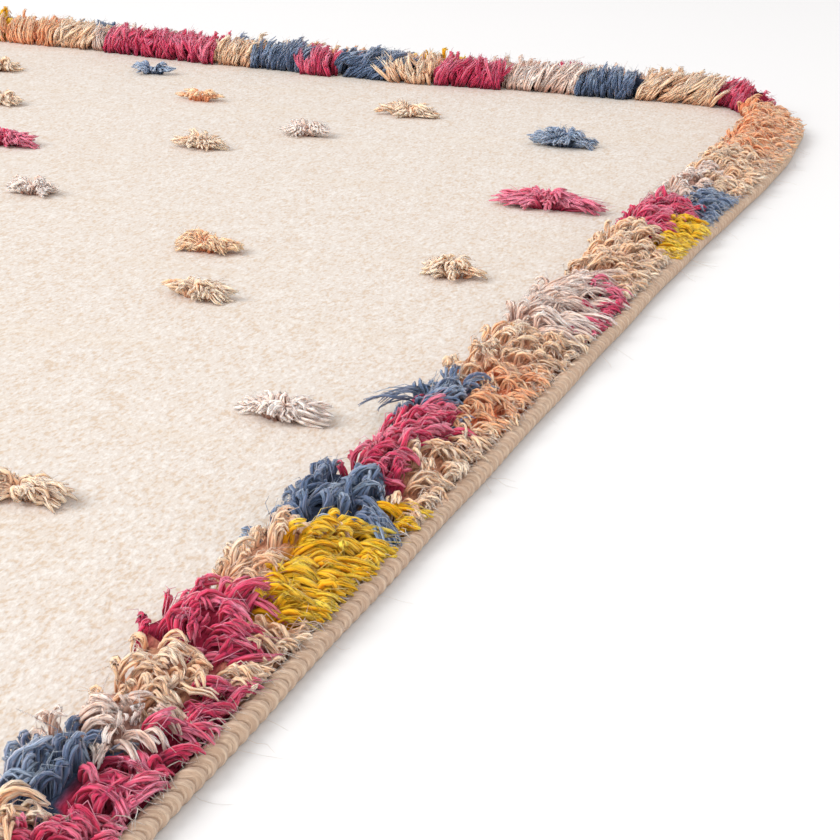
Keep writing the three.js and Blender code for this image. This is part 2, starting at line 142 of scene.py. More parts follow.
class Shader:
    """A material under construction, with one Principled shader at its end."""

    def __init__(self, name: str) -> None:
        """Makes an empty material.

        Args:
            name: the material's name.
        """
        self.material = bpy.data.materials.new(name)
        self.material.use_nodes = True
        self.tree = self.material.node_tree
        self.surface = self.tree.nodes["Principled BSDF"]

    def node(self, kind: str, settings: Optional[dict] = None,
             inputs: Optional[dict] = None) -> bpy.types.Node:
        """Adds any node.

        Args:
            kind: the node's type.
            settings: its own settings, set first.
            inputs: socket name or number to a value or a signal.

        Returns:
            The node.
        """
        made = self.tree.nodes.new(kind)
        for key, value in (settings or {}).items():
            setattr(made, key, value)
        for key, value in (inputs or {}).items():
            self.feed(made.inputs[key], value)
        return made

    def feed(self, socket: bpy.types.NodeSocket, value: Input) -> None:
        """Links a signal to a socket, or sets the socket's own value.

        Args:
            socket: the socket.
            value: the signal or the value.
        """
        if isinstance(value, Signal):
            self.tree.links.new(value.socket, socket)
        else:
            socket.default_value = value

    def signal(self, made: bpy.types.Node, output: Union[int, str] = 0) -> Signal:
        """Gives one output of a node as a signal."""
        return Signal(self, made.outputs[output])

    def attribute(self, name: str, output: str = "Fac") -> Signal:
        """Reads an attribute of the mesh."""
        return self.signal(self.node("ShaderNodeAttribute", {"attribute_name": name}), output)

    def map(self, name: str) -> Signal:
        """Reads a texture map of the mesh."""
        return self.signal(self.node("ShaderNodeUVMap", {"uv_map": name}))

    def scaled(self, where: Signal, factors: Sequence[float]) -> Signal:
        """Multiplies coordinates along each axis."""
        made = self.node("ShaderNodeVectorMath", {"operation": "MULTIPLY"}, {0: where, 1: factors})
        return self.signal(made)

    def place(self, *factors: float) -> Signal:
        """Object coordinates, multiplied along each axis."""
        return self.scaled(self.signal(self.node("ShaderNodeTexCoord"), "Object"), factors)

    def noise(self, where: Signal, scale: float, detail: float) -> Signal:
        """A noise value from 0 to 1."""
        made = self.node("ShaderNodeTexNoise", None, {"Vector": where, "Scale": scale, "Detail": detail})
        return self.signal(made, "Fac")

    def mix(self, share: Input, low: Input, high: Input, blend: str = "MIX") -> Signal:
        """Mixes two colours.

        Args:
            share: the mix factor.
            low: the colour at 0.
            high: the colour at 1.
            blend: the way of mixing.

        Returns:
            The mixed colour.
        """
        opaque = [(*color, 1.0) if isinstance(color, tuple) else color for color in (low, high)]
        made = self.node("ShaderNodeMix", {"data_type": "RGBA", "blend_type": blend},
                         {0: share, 6: opaque[0], 7: opaque[1]})
        return self.signal(made, 2)

    def ramp(self, value: Signal, low: float, high: float) -> Signal:
        """Stretches a value so that low becomes 0 and high becomes 1, smoothly and within them."""
        made = self.node("ShaderNodeMapRange", {"interpolation_type": "SMOOTHSTEP"},
                         {"Value": value, "From Min": low, "From Max": high})
        return self.signal(made)

    def bump(self, height: Signal, distance: float, strength: float) -> Signal:
        """Turns a height into a bumped normal, with the distance in millimetres."""
        made = self.node("ShaderNodeBump", None,
                         {"Height": height, "Distance": distance * MM, "Strength": strength})
        return self.signal(made)

    def finish(self, **values: Input) -> Material:
        """Feeds the surface's sockets, named with underscores for spaces.

        Args:
            values: socket to value or signal.

        Returns:
            The finished material.
        """
        for key, value in values.items():
            self.feed(self.surface.inputs[key.replace("_", " ")], value)
        return self.material


@dataclass(frozen=True)
class PileFinish:
    """Loosely spun, dyed wool. The colours run from painted shade at the root to a painted highlight at the
    tip.

    softness is the share of the light that goes into the wool, and bleed how far it spreads there
    in red, green and blue, in millimetres. Where the noise of the fibres lies below thin, a ply
    has come apart, and above thick it is whole.
    """

    # root is painted shade low in the pile, body the dye, and tip a painted highlight high in the pile.
    root: Rgb
    body: Rgb
    tip: Rgb
    roughness: float = 0.88
    sheen: float = 0.3
    softness: float = 0.7
    bleed: tuple[float, ...] = (3.2, 2.4, 2.0)
    thin: float = 0.4
    thick: float = 0.5

    def dress(self, name: str) -> Material:
        """Makes the material.

        Args:
            name: the material's name.

        Returns:
            The material, which reads the attributes rise and shade and the map strand.
        """
        shader = Shader(name)
        root, body, tip = (linear(color) for color in (self.root, self.body, self.tip))
        rise, shade, along = shader.attribute("rise"), shader.attribute("shade"), shader.map("strand")
        fibres = shader.noise(along, 3.4, 3.0)
        blotches = shader.noise(shader.place(1, 1, 1), 90.0, 2.0)
        # Painted shade: darker towards the root colour low in the pile, where the strands shade each other.
        color = shader.mix(shader.ramp(rise, 0.0, 0.45), root, body)
        # Painted highlight: lighter towards the tip colour high in the pile, varied by each strand's random
        # tone and its fibres.
        painted_highlight = shader.ramp(rise + (shade - 0.5) * 0.9 + (fibres - 0.5) * 1.3, 0.45, 1.25)
        color = shader.mix(painted_highlight, color, tip)
        dim = shader.ramp(shade * 0.7 + blotches * 0.5, 0.05, 0.75)
        color = shader.mix(0.38 * (1 - dim), color, root)
        parted = shader.noise(along, 7.0, 2.0) + (1 - rise) * 0.1
        return shader.finish(
            Base_Color=color,
            Roughness=self.roughness,
            Sheen_Weight=self.sheen,
            Sheen_Roughness=0.5,
            Sheen_Tint=(*tip, 1.0),
            Specular_IOR_Level=0.15,
            Subsurface_Weight=self.softness,
            Subsurface_Radius=tuple(reach * MM for reach in self.bleed),
            Subsurface_Scale=1.0,
            Alpha=shader.ramp(parted, self.thin, self.thick),
            Normal=shader.bump(fibres, 0.8, 0.8),
        )


@dataclass(frozen=True)
class WeaveFinish:
    """Undyed, pebbly flat weave with warm painted shade in its small crevices, painted highlights on its
    nubs, and faint streaks along the weft.
    """

    # painted_crevice_shade is painted shade in the crevices and crown a painted highlight on the nubs; body
    # and streak are the wool's own colours.
    painted_crevice_shade: Rgb = (184, 155, 122)
    body: Rgb = (203, 194, 185)
    crown: Rgb = (213, 208, 202)
    streak: Rgb = (201, 184, 162)

    def dress(self, name: str) -> Material:
        """Makes the material.

        Args:
            name: the material's name.

        Returns:
            The material.
        """
        shader = Shader(name)
        nubs = shader.noise(shader.place(1.1, 0.62, 0.5), 470.0, 1.5)
        lumps = shader.noise(shader.place(1.0, 0.7, 0.5), 170.0, 1.0)
        weft = shader.noise(shader.place(5.0, 170.0, 1.0), 1.0, 2.0)
        clouds = shader.noise(shader.place(2.0, 9.0, 1.0), 2.6, 3.0)
        height = nubs * 1.15 + lumps * 0.4 + weft * 0.08
        # Painted highlight: lighter towards the crown colour on the high nubs.
        color = shader.mix(shader.ramp(height, 0.84, 1.08), linear(self.body), linear(self.crown))
        # Painted shade: darker towards the crevice colour where the weave lies low.
        color = shader.mix(shader.ramp(0.84 - height, 0.04, 0.26) * 0.5, color, linear(self.painted_crevice_shade))
        tone = shader.ramp(weft * 0.5 + clouds * 0.8, 0.62, 0.9)
        color = shader.mix(tone * 0.22, color, linear(self.streak))
        return shader.finish(
            Base_Color=color,
            Roughness=0.92,
            Sheen_Weight=0.1,
            Specular_IOR_Level=0.15,
            Normal=shader.bump(height, 1.5, 0.4),
        )


@dataclass(frozen=True)
class CordFinish:
    """Undyed wool stitched over the edge: fat stitches, each of a few soft strands, with painted highlights
    on the raised strands and painted shade in the creases between the stitches.
    """

    # crease_shade is painted shade between and under the stitches, crown a painted highlight on the raised
    # strands; body is the wool's own colour.
    crease_shade: Rgb = (172, 136, 112)
    body: Rgb = (206, 174, 148)
    crown: Rgb = (236, 210, 184)
    strands: float = 3.0

    def dress(self, name: str) -> Material:
        """Makes the material.

        Args:
            name: the material's name.

        Returns:
            The material, which reads the attribute rise and the map wrap.
        """
        shader = Shader(name)
        wrap = shader.map("wrap")
        passed = shader.signal(shader.node("ShaderNodeSeparateXYZ", None, {0: wrap}), "X")
        phase = passed * (FULL_TURN * self.strands)
        strand = phase.maths("SINE", phase) * 0.5 + 0.5
        fibres = shader.noise(shader.scaled(wrap, (11.0, 3.0, 1.0)), 1.6, 4.0)
        blotches = shader.noise(shader.place(1, 1, 1), 110.0, 3.0)
        height = strand * 0.22 + fibres * 0.9
        # Painted highlight: lighter towards the crown colour on the raised strands, mixed with random
        # blotches.
        painted_highlight = shader.ramp(height + blotches * 0.4, 0.6, 1.05)
        color = shader.mix(painted_highlight, linear(self.body), linear(self.crown))
        # Painted shade: darker towards the crease colour where the stitches dip between each other.
        crease_shade_mask = shader.ramp(0.62 - shader.attribute("rise") - 0.3 * fibres, 0.0, 0.4)
        color = shader.mix(crease_shade_mask * 0.65, color, linear(self.crease_shade))
        return shader.finish(
            Base_Color=color,
            Roughness=0.9,
            Sheen_Weight=0.2,
            Specular_IOR_Level=0.15,
            Normal=shader.bump(height, 1.6, 1.0),
        )


@dataclass(frozen=True)
class BedFinish:
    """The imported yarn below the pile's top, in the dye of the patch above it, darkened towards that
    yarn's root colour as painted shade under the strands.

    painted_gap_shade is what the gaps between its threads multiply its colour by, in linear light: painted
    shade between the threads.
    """

    painted_gap_shade: Rgb = (0.3, 0.26, 0.26)

    def dress(self, name: str) -> Material:
        """Makes the material.

        Args:
            name: the material's name.

        Returns:
            The material, which reads the colour attribute dye_and_shade: the dye with painted shade in it.
        """
        shader = Shader(name)
        curls = shader.noise(shader.place(1, 1, 1), 150.0, 1.0)
        threads = shader.noise(shader.place(1.6, 0.5, 1), 620.0, 3.0)
        height = curls * 0.6 + threads * 0.6
        # Painted shade: the colour is darkened in the gaps between the threads.
        dye_and_shade, gaps = shader.attribute("dye_and_shade", "Color"), shader.ramp(0.78 - height, 0.0, 0.3) * 0.75
        return shader.finish(
            Base_Color=shader.mix(gaps, dye_and_shade, self.painted_gap_shade, "MULTIPLY"),
            Roughness=0.95,
            Specular_IOR_Level=0.1,
            Normal=shader.bump(height, 2.5, 1.0),
        )


@dataclass(frozen=True)
class FloorFinish:
    """A plain, pale, matt floor."""

    tone: Rgb = (222, 222, 222)

    def dress(self, name: str) -> Material:
        """Makes the material."""
        return Shader(name).finish(Base_Color=(*linear(self.tone), 1.0), Roughness=0.9,
                                   Specular_IOR_Level=0.1)


# Each yarn's root, body and tip: painted shade at the root, the dye, and a painted highlight at the tip.
PILE_FINISHES = {
    Yarn.PLUM: PileFinish((130, 24, 48), (208, 62, 98), (238, 130, 154)),
    Yarn.BLUE: PileFinish((44, 54, 76), (92, 110, 140), (152, 168, 190)),
    Yarn.MUSTARD: PileFinish((190, 120, 14), (238, 174, 32), (252, 208, 86)),
    Yarn.CORAL: PileFinish((255, 146, 104), (255, 172, 130), (255, 208, 172)),
    Yarn.TAN: PileFinish((208, 146, 114), (254, 200, 164), (255, 222, 196)),
    Yarn.MAUVE: PileFinish((176, 128, 112), (244, 206, 190), (255, 234, 224)),
}
# The loose fibres' root, body and tip in the same way: painted shade, the undyed wool, and a painted
# highlight.
FIBRE_FINISH = PileFinish((214, 174, 148), (240, 212, 190), (250, 236, 222))


def ease(value: Array) -> Array:
    """A smooth step from 0 to 1, level outside that span."""
    share = np.clip(value, 0.0, 1.0)
    return share * share * (3 - 2 * share)


def wave_at(rows: Sequence[Span], place: Array) -> Array:
    """The shift of an edge at each place along it, eased from row to row.

    Args:
        rows: places along the edge, in order, each with the edge's shift there.
        place: places along the edge.

    Returns:
        The shift at each of them.
    """
    at, shift = np.array(rows, float).T
    after = np.clip(np.searchsorted(at, place), 1, len(rows) - 1)
    share = ease((place - at[after - 1]) / (at[after] - at[after - 1]))
    return shift[after - 1] + (shift[after] - shift[after - 1]) * share


class Side(Enum):
    """The four sides, against the clock."""

    RIGHT = "right"
    FAR = "far"
    LEFT = "left"
    NEAR = "near"


@dataclass(frozen=True)
class Plan:
    """The rug's outline: a rectangle with round corners whose edges wave a little.

    right, left, far and near hold places along an edge, from near to far or from left to right,
    and how far the edge lies there from its straight line, in X or in Y. reach is how far in from
    an edge its wave is felt, in X and in Y. gap is the slit between cloth and cord, margin the
    width of the cloth's level rim under the border, and roll how uneven the field is.
    """

    width: float = 1200.0
    length: float = 1700.0
    corner: float = 110.0
    cloth: float = 6.0
    cord: float = 10.0
    gap: float = 0.3
    reach: Span = (450.0, 600.0)
    margin: float = 84.0
    roll: float = 0.7
    right: tuple[Span, ...] = ((-850, -6), (-400, -9), (200, -9), (600, 0), (850, -12))
    left: tuple[Span, ...] = ((-850, 4), (-300, 0), (300, 7), (850, 0))
    far: tuple[Span, ...] = ((-600, 0), (-300, -16), (0, -34), (150, -38), (350, -29), (475, -26),
                             (600, -66))
    near: tuple[Span, ...] = ((-600, 0), (0, 6), (600, 3))

    def lie(self, x: Array, y: Array) -> tuple[Array, Array]:
        """Where points of the neat rectangle really lie.

        Args:
            x: their X in the neat rectangle.
            y: their Y in the neat rectangle.

        Returns:
            Their X and Y on the rug.
        """
        by_right, by_left = (ease((way * x - self.width / 2) / self.reach[0] + 1) for way in (1, -1))
        by_far, by_near = (ease((way * y - self.length / 2) / self.reach[1] + 1) for way in (1, -1))
        over = by_right * wave_at(self.right, y) + by_left * wave_at(self.left, y)
        up = by_far * wave_at(self.far, x) + by_near * wave_at(self.near, x)
        return x + over, y + up

    def half(self, side: Side) -> float:
        """Half of a side's length, corner to corner."""
        return (self.length if side in (Side.RIGHT, Side.LEFT) else self.width) / 2

    def out(self, side: Side) -> float:
        """How far a side lies from the middle."""
        return (self.width if side in (Side.RIGHT, Side.LEFT) else self.length) / 2

    def half_run(self, side: Side) -> float:
        """Half of the way along a side's edge, from mitre to mitre round the corners."""
        return self.half(side) - self.corner + self.corner * math.pi / 4

    def neat(self, side: Side, run: Array, inset: Array) -> tuple[Array, Array]:
        """Points along a side in the neat rectangle.

        Args:
            side: the side.
            run: the way along its edge from its middle.
            inset: how far in from the edge.

        Returns:
            Their X and Y.
        """
        straight = self.half(side) - self.corner
        arc = self.corner * math.pi / 4
        past = np.clip(np.abs(run) - straight, 0, arc) / arc
        angle = np.sign(run) * past * math.pi / 4
        along = np.clip(run, -straight, straight) + (self.corner - inset) * np.sin(angle)
        outward = self.out(side) - self.corner + (self.corner - inset) * np.cos(angle)
        turned = {
            Side.RIGHT: (outward, along),
            Side.FAR: (-along, outward),
            Side.LEFT: (-outward, -along),
            Side.NEAR: (along, -outward),
        }
        return turned[side]

    def point(self, side: Side, run: Array, inset: Array, up: Array) -> Array:
        """Points along a side of the rug as it lies.

        Args:
            side: the side.
            run: the way along its edge from its middle.
            inset: how far in from the edge.
            up: height above the floor.

        Returns:
            The points, one row each.
        """
        run, inset, up = np.broadcast_arrays(*(np.asarray(v, float) for v in (run, inset, up)))
        x, y = self.lie(*self.neat(side, run, inset))
        return np.stack([x, y, up], axis=-1)

    def cloth_top(self, x: Array, y: Array) -> Array:
        """Height of the cloth's face: level under the border, softly uneven in the field.

        Args:
            x: places in X in the neat rectangle.
            y: places in Y in the neat rectangle.

        Returns:
            The height at each of them.
        """
        in_x = ease((self.width / 2 - np.abs(x)) / self.margin - 1)
        in_y = ease((self.length / 2 - np.abs(y)) / self.margin - 1)
        rolls = np.sin(x / 61 + 1.3) * np.sin(y / 83 + 0.4) + 0.6 * np.sin(x / 37 - y / 52)
        return self.cloth + self.roll * in_x * in_y * (0.8 + 0.5 * rolls)


PLAN = Plan()


def origin_shift() -> Array:
    """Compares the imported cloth's box with the plan's.

    Returns:
        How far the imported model's origin lies from the plan's, in millimetres.
    """
    low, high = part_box("ground_cloth")
    ring = np.concatenate([
        PLAN.point(side, np.linspace(-1, 1, 9) * PLAN.half_run(side), PLAN.cord + PLAN.gap, 0)
        for side in Side])
    middle = (ring.min(0) + ring.max(0)) / 2
    found = np.array((low + high) / 2) / MM
    return np.array([found[0] - middle[0], found[1] - middle[1], 0.0])


SHIFT = origin_shift()


def to_metres(points: Array) -> Array:
    """Plan millimetres to the frame's metres."""
    return (points + SHIFT) * MM


def new_piece(name: str, mesh: Mesh, material: Material) -> Piece:
    """Puts a finished mesh in the scene as a piece that rides on the rug.

    Args:
        name: the piece's name.
        mesh: its mesh, in place.
        material: its finish.

    Returns:
        The piece.
    """
    mesh.name = name
    mesh.materials.clear()
    mesh.materials.append(material)
    mesh.shade_smooth()
    piece = bpy.data.objects.new(name, mesh)
    bpy.context.scene.collection.objects.link(piece)
    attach(piece, "root")
    LOG.info("%s: %d faces", name, len(mesh.polygons))
    return piece


def mesh_of(shape: bmesh.types.BMesh, name: str) -> Mesh:
    """Writes a shape to a new mesh and frees it.

    Args:
        shape: the shape.
        name: the mesh's name.

    Returns:
        The mesh.
    """
    mesh = bpy.data.meshes.new(name)
    shape.to_mesh(mesh)
    shape.free()
    return mesh


def write_attribute(mesh: Mesh, name: str, values: Array) -> None:
    """Writes one number, or one row of colour, for each vertex of a mesh."""
    kind, key = ("FLOAT", "value") if values.ndim == 1 else ("FLOAT_COLOR", "color")
    mesh.attributes.new(name, kind, "POINT").data.foreach_set(key, values.astype(np.float32).ravel())


def write_map(mesh: Mesh, name: str, values: Array) -> None:
    """Writes a texture map with one place for each corner of a mesh."""
    mesh.uv_layers.new(name=name).uv.foreach_set("vector", values.astype(np.float32).ravel())


def ringed_tube(around: int, rings: int) -> bmesh.types.BMesh:
    """Extrudes a circle into a tube and closes its ends.

    Args:
        around: points in a ring.
        rings: how many rings the tube has.

    Returns:
        The shape, all rings still at the circle's place. Its vertices run ring by ring.
    """
    shape = bmesh.new()
    bmesh.ops.create_circle(shape, segments=around, radius=1.0)
    ring = list(shape.edges)
    for _ in range(rings - 1):
        grown = bmesh.ops.extrude_edge_only(shape, edges=ring)
        ring = [part for part in grown["geom"] if isinstance(part, bmesh.types.BMEdge)]
    bmesh.ops.holes_fill(shape, edges=[edge for edge in shape.edges if edge.is_boundary], sides=around)
    shape.verts.index_update()
    return shape


def swept(name: str, runs: Array, around: int,
          place: Callable[[Array, Array], Array]) -> tuple[Mesh, Array, Array]:
    """Makes a closed tube along a side.

    Args:
        name: the mesh's name.
        runs: places of the rings along the tube.
        around: points in a ring.
        place: gives the points for places along the tube and shares of a turn.

    Returns:
        The mesh, and for each vertex its place along the tube and its share of a turn.
    """
    shape = ringed_tube(around, len(runs))
    turn = np.array([math.atan2(vertex.co.y, vertex.co.x) for vertex in shape.verts]) / FULL_TURN % 1.0
    along = runs[np.arange(len(turn)) // around]
    for vertex, point in zip(shape.verts, to_metres(place(along, turn))):
        vertex.co = point
    bmesh.ops.recalc_face_normals(shape, faces=shape.faces)
    return mesh_of(shape, name), along, turn


@dataclass(frozen=True)
class Template:
    """A closed tube of unit size along Z, whose copies are bent into strands.

    angle is each vertex's turn about the tube and ring the number of its ring, from 0 to steps;
    loops are the corners of its faces in a row and sizes how many each face has.
    """

    steps: int
    angle: Array
    ring: Array
    loops: Array
    sizes: Array

    @classmethod
    def tube(cls, sides: int, steps: int) -> "Template":
        """Takes the template from a straight tube.

        Args:
            sides: the tube's sides.
            steps: how many lengths it has.

        Returns:
            The template.
        """
        shape = ringed_tube(sides, steps + 1)
        for number, vertex in enumerate(shape.verts):
            vertex.co.z = number // sides
        bmesh.ops.recalc_face_normals(shape, faces=shape.faces)
        places = np.array([vertex.co for vertex in shape.verts])
        loops = np.array([vertex.index for face in shape.faces for vertex in face.verts])
        sizes = np.array([len(face.verts) for face in shape.faces])
        shape.free()
        return cls(steps, np.arctan2(places[:, 1], places[:, 0]), places[:, 2].astype(int), loops, sizes)


def unit(vectors: Array) -> Array:
    """Vectors of length one in the same directions."""
    return vectors / (np.linalg.norm(vectors, axis=-1, keepdims=True) + 1e-9)


@dataclass(frozen=True)
class Course:
    """The wavering curves that a batch of strands follows.

    control holds four points for each strand and frizz how far it wanders from its curve;
    turn and beat are the phases and the paces of its waver, and tilt sets its frame.
    """

    control: Array
    frizz: Array
    turn: Array
    beat: Array
    tilt: Array

    @classmethod
    def draw(cls, control: Array, frizz: Array, rng: Chance) -> "Course":
        """Draws the waver of a batch of strands by chance."""
        count = len(control)
        return cls(control, frizz, rng.uniform(0, FULL_TURN, (count, 2)),
                   rng.uniform(0.5, 1.7, (count, 2)), 0.05 * rng.normal(size=(count, 1, 3)))

    def along(self, share: Array) -> tuple[Array, Array, Array]:
        """Points of the curves, and two directions across them.

        Args:
            share: how far along, with a row for each strand.

        Returns:
            The points and both directions.
        """
        a, b, c, d = (self.control[:, k, None, :] for k in range(4))
        t = share[..., None]
        line = (1 - t) ** 3 * a + 3 * t * (1 - t) ** 2 * b + 3 * t ** 2 * (1 - t) * c + t ** 3 * d
        way = unit((1 - t) ** 2 * (b - a) + 2 * t * (1 - t) * (c - b) + t ** 2 * (d - c))
        level = unit(np.cross(unit(b - a), unit(d - b)) + self.tilt)
        aside = unit(level - way * (level * way).sum(-1, keepdims=True))
        over = np.cross(way, aside)
        for k, axis in enumerate((aside, over)):
            start = self.turn[:, k, None]
            wave = np.sin(FULL_TURN * self.beat[:, k, None] * share + start) - np.sin(start)
            line = line + (self.frizz[:, None] * wave * share ** 0.5)[..., None] * axis
        return line, aside, over


@dataclass
class Strands:
    """A growing heap of bent strands, kept as the parts of one mesh.

    parts holds by name the places of the vertices, the corners and sizes of the faces, and the
    rise, shade and strand of the finish. taken is how many vertices there are.
    """

    rng: Chance
    parts: dict[str, list[Array]] = field(default_factory=dict)
    taken: int = 0
    taper: tuple[tuple[float, ...], ...] = ((0, 0.3, 0.85, 1), (0.8, 1.05, 1.0, 0.45))

    def add(self, template: Template, lines: tuple[Array, Array, Array], thick: Array,
            shade: Array) -> None:
        """Bends a copy of a tube for each strand.

        Args:
            template: the tube.
            lines: for each strand the points of its rings, in millimetres, and two directions across.
            thick: the radius of each strand.
            shade: the lightness of each strand, from 0 to 1.
        """
        count, size, ring = len(thick), len(template.ring), template.ring
        middle, aside, over = (part[:, ring] for part in lines)
        share = ring / template.steps
        radius = thick[:, None] * np.interp(share, *self.taper)
        turn = self.rng.uniform(0, FULL_TURN, (count, 1))
        spin = template.angle + turn
        outward = np.cos(spin)[..., None] * aside + np.sin(spin)[..., None] * over
        corners = (template.loops + size * np.arange(count)[:, None]).ravel()
        across = 0.5 * np.cos(template.angle) + turn + 0.7 * share
        strand = np.stack([across, np.broadcast_to(0.5 * share, across.shape)], axis=-1)
        for key, values in {
            "place": (middle + radius[..., None] * outward).reshape(-1, 3),
            "corner": corners + self.taken,
            "size": np.tile(template.sizes, count),
            "rise": np.tile(share, count),
            "shade": np.repeat(np.clip(shade, 0, 1), size),
            "strand": strand.reshape(-1, 2)[corners],
        }.items():
            self.parts.setdefault(key, []).append(values)
        self.taken += count * size

    def mesh(self, name: str) -> Mesh:
        """Joins the strands into one mesh.

        Args:
            name: the mesh's name.

        Returns:
            The mesh, with the attributes rise and shade and the map strand.
        """
        whole = {key: np.concatenate(values) for key, values in self.parts.items()}
        mesh, sizes = bpy.data.meshes.new(name), whole["size"]
        mesh.vertices.add(self.taken)
        mesh.vertices.foreach_set("co", to_metres(whole["place"]).ravel().astype(np.float32))
        mesh.loops.add(len(whole["corner"]))
        mesh.loops.foreach_set("vertex_index", whole["corner"].astype(np.int32))
        mesh.polygons.add(len(sizes))
        mesh.polygons.foreach_set("loop_start", (np.cumsum(sizes) - sizes).astype(np.int32))
        mesh.update(calc_edges=True)
        write_attribute(mesh, "rise", whole["rise"])
        write_attribute(mesh, "shade", whole["shade"])
        write_map(mesh, "strand", whole["strand"])
        return mesh


@dataclass(frozen=True)
class Spinning:
    """How a loosely spun yarn is made up: plies laid round each other, and stray hairs.

    plies is how many there are, each of radius ply, at girth from the yarn's middle; fray is how
    far they part at the tip, in girths, twist how far they turn about each other, stray how far
    each wanders, and skip how much of their lower ends, buried in the pile, is left out; hairs
    is how many there are for each yarn, of a radius within hair.
    """

    plies: int
    ply: float
    girth: float
    hairs: float
    ply_tube: Template
    hair_tube: Template
    fray: float = 1.2
    twist: float = 1.8
    stray: float = 0.7
    skip: float = 0.0
    hair: Span = (0.14, 0.34)

    def spin(self, strands: Strands, control: Array, tone: Array, low: float, high: float,
             curl: float = 1.0, full: float = 1.0) -> None:
        """Adds the plies and hairs of yarns.

        Args:
            strands: the heap to add them to.
            control: four control points for each yarn, in millimetres.
            tone: the lightness of each yarn, from 0 to 1.
            low: the least height of a hair's tip.
            high: the greatest height of anything.
            curl: how much the yarns curl beside others.
            full: how thick they are beside others.
        """
        count, rng = len(control), strands.rng
        if not count:
            return
        share = np.linspace(self.skip, 1, self.ply_tube.steps + 1)
        course = Course.draw(control, curl * rng.uniform(0.5, 1.7, count), rng)
        lay = rng.uniform(0, FULL_TURN, count)
        spread = np.interp(share, (0.0, 0.25, 0.7, 1.0), (0.5, 1.0, 1.0, self.fray))
        girth = full * self.girth * spread
        for number in range(self.plies):
            line, aside, over = course.along(share * rng.uniform(0.88, 1.06, (count, 1)))
            turn = lay[:, None] + FULL_TURN * number / self.plies + self.twist * share
            line += (girth * np.cos(turn))[..., None] * aside + (girth * np.sin(turn))[..., None] * over
            for axis in (aside, over):
                beat, start = rng.uniform(0.6, 1.6, (count, 1)), rng.uniform(0, FULL_TURN, (count, 1))
                stray = self.stray * curl * share ** 0.5 * np.sin(FULL_TURN * beat * share + start)
                line += stray[..., None] * axis
            line[..., 2] = np.minimum(line[..., 2], high)
            thick = full * self.ply * rng.uniform(0.75, 1.25, count)
            strands.add(self.ply_tube, (line, aside, over), thick, tone + rng.normal(0, 0.09, count))
        self.shed(strands, control, tone, low, high)

    def shed(self, strands: Strands, control: Array, tone: Array, low: float, high: float) -> None:
        """Adds hairs that leave yarns, further towards the tips.

        Args:
            strands: the heap to add them to.
            control: four control points for each yarn, in millimetres.
            tone: the lightness of each yarn, from 0 to 1.
            low: the least height of a hair's tip.
            high: the greatest height of anything.
        """
        rng = strands.rng
        chosen = rng.choice(len(control), int(len(control) * self.hairs))
        fine, loose = control[chosen].copy(), rng.normal(0, 1, (len(chosen), 4, 3))
        loose[:, :, 2] = np.abs(loose[:, :, 2])
        fine += loose * np.array([1.0, 1.9, 2.3, 3.0])[None, :, None]
        fine[:, 3] += (fine[:, 3] - fine[:, 2]) * rng.uniform(-0.4, 0.2, (len(fine), 1))
        fine[:, 3, 2] = np.clip(fine[:, 3, 2], low, high)
        share = np.linspace(0, 1, self.hair_tube.steps + 1)
        course = Course.draw(fine, rng.uniform(0.5, 2.2, len(fine)), rng)
        line, aside, over = course.along(np.tile(share, (len(fine), 1)))
        line[..., 2] = np.minimum(line[..., 2], high)
        strands.add(self.hair_tube, (line, aside, over), rng.uniform(*self.hair, len(fine)),
                    tone[chosen] + rng.normal(0.45, 0.2, len(fine)))


@dataclass(frozen=True)
class Patch:
    """A patch of one yarn in a lane of the border.

    start is where it begins along the side; lean is the strands' way, in degrees from straight
    out towards the side's own direction; length is theirs; reach is how far in the patch goes;
    spill is how near the edge its tips come; spread is how far its locks differ in lean, rise
    how high they stand beside the others, and width how far in a patch of the outer lane goes.
    """

    yarn: Yarn
    start: float
    lean: float = 15.0
    length: float = 27.0
    reach: float = 73.0
    spill: float = 7.0
    spread: float = 22.0
    rise: float = 1.0
    width: float = 30.0


def patches(*rows: tuple) -> tuple[Patch, ...]:
    """The patches of a lane, from rows that hold a patch's fields in order."""
    return tuple(Patch(*row) for row in rows)


P, B, M, C, T, V = Yarn.PLUM, Yarn.BLUE, Yarn.MUSTARD, Yarn.CORAL, Yarn.TAN, Yarn.MAUVE
RIGHT_INNER = patches(
    (T, -830), (P, -742), (B, -648), (V, -570, 5, 32), (M, -500), (T, -456, 0, 33, 66),
    (B, -424, 60, 25, 62, 7, 40), (V, -380, -35, 27, 61), (T, -346, -25, 27, 62),
    (P, -310, 38, 30, 74, 7, 48), (T, -262, 10, 27, 66), (B, -196, 70, 27, 70, 7, 55),
    (P, -142, 25, 28, 64), (B, -62, 50, 26, 68, 7, 50), (T, -14, 10, 24, 64), (V, 76, 20, 42, 66),
    (T, 184, 20, 27, 62), (P, 302, 40, 30, 64), (V, 390, 15, 24, 62), (T, 500, 10, 26, 62, 5),
    (C, 590, 12, 28, 62, 4, 18, 0.86),
)
RIGHT_OUTER = patches(
    (V, -830), (M, -720), (T, -640), (C, -560), (P, -482, 20, 29, 73, 7, 30, 1, 33),
    (P, -420, 30, 30, 73, 7, 30, 1, 29), (T, -330, 5, 28), (M, -268, 22, 33, 73, 5, 12, 1, 44),
    (B, -190, 0, 30, 73, 5), (M, -172, 5, 32, 73, 5, 5, 1.05, 34), (T, -161, -15, 27),
    (C, -54, -5, 27, 73, 7, 22, 1, 45), (T, 24, 0, 27), (P, 92, 10, 27), (T, 180, 10, 27),
    (M, 266, 10, 27, 73, 2, 15, 1, 27), (B, 366, 20, 26, 73, 5, 20, 1, 38), (T, 446, 10, 26, 73, 4),
    (C, 575, 12, 28, 73, 1, 18, 0.86),
)
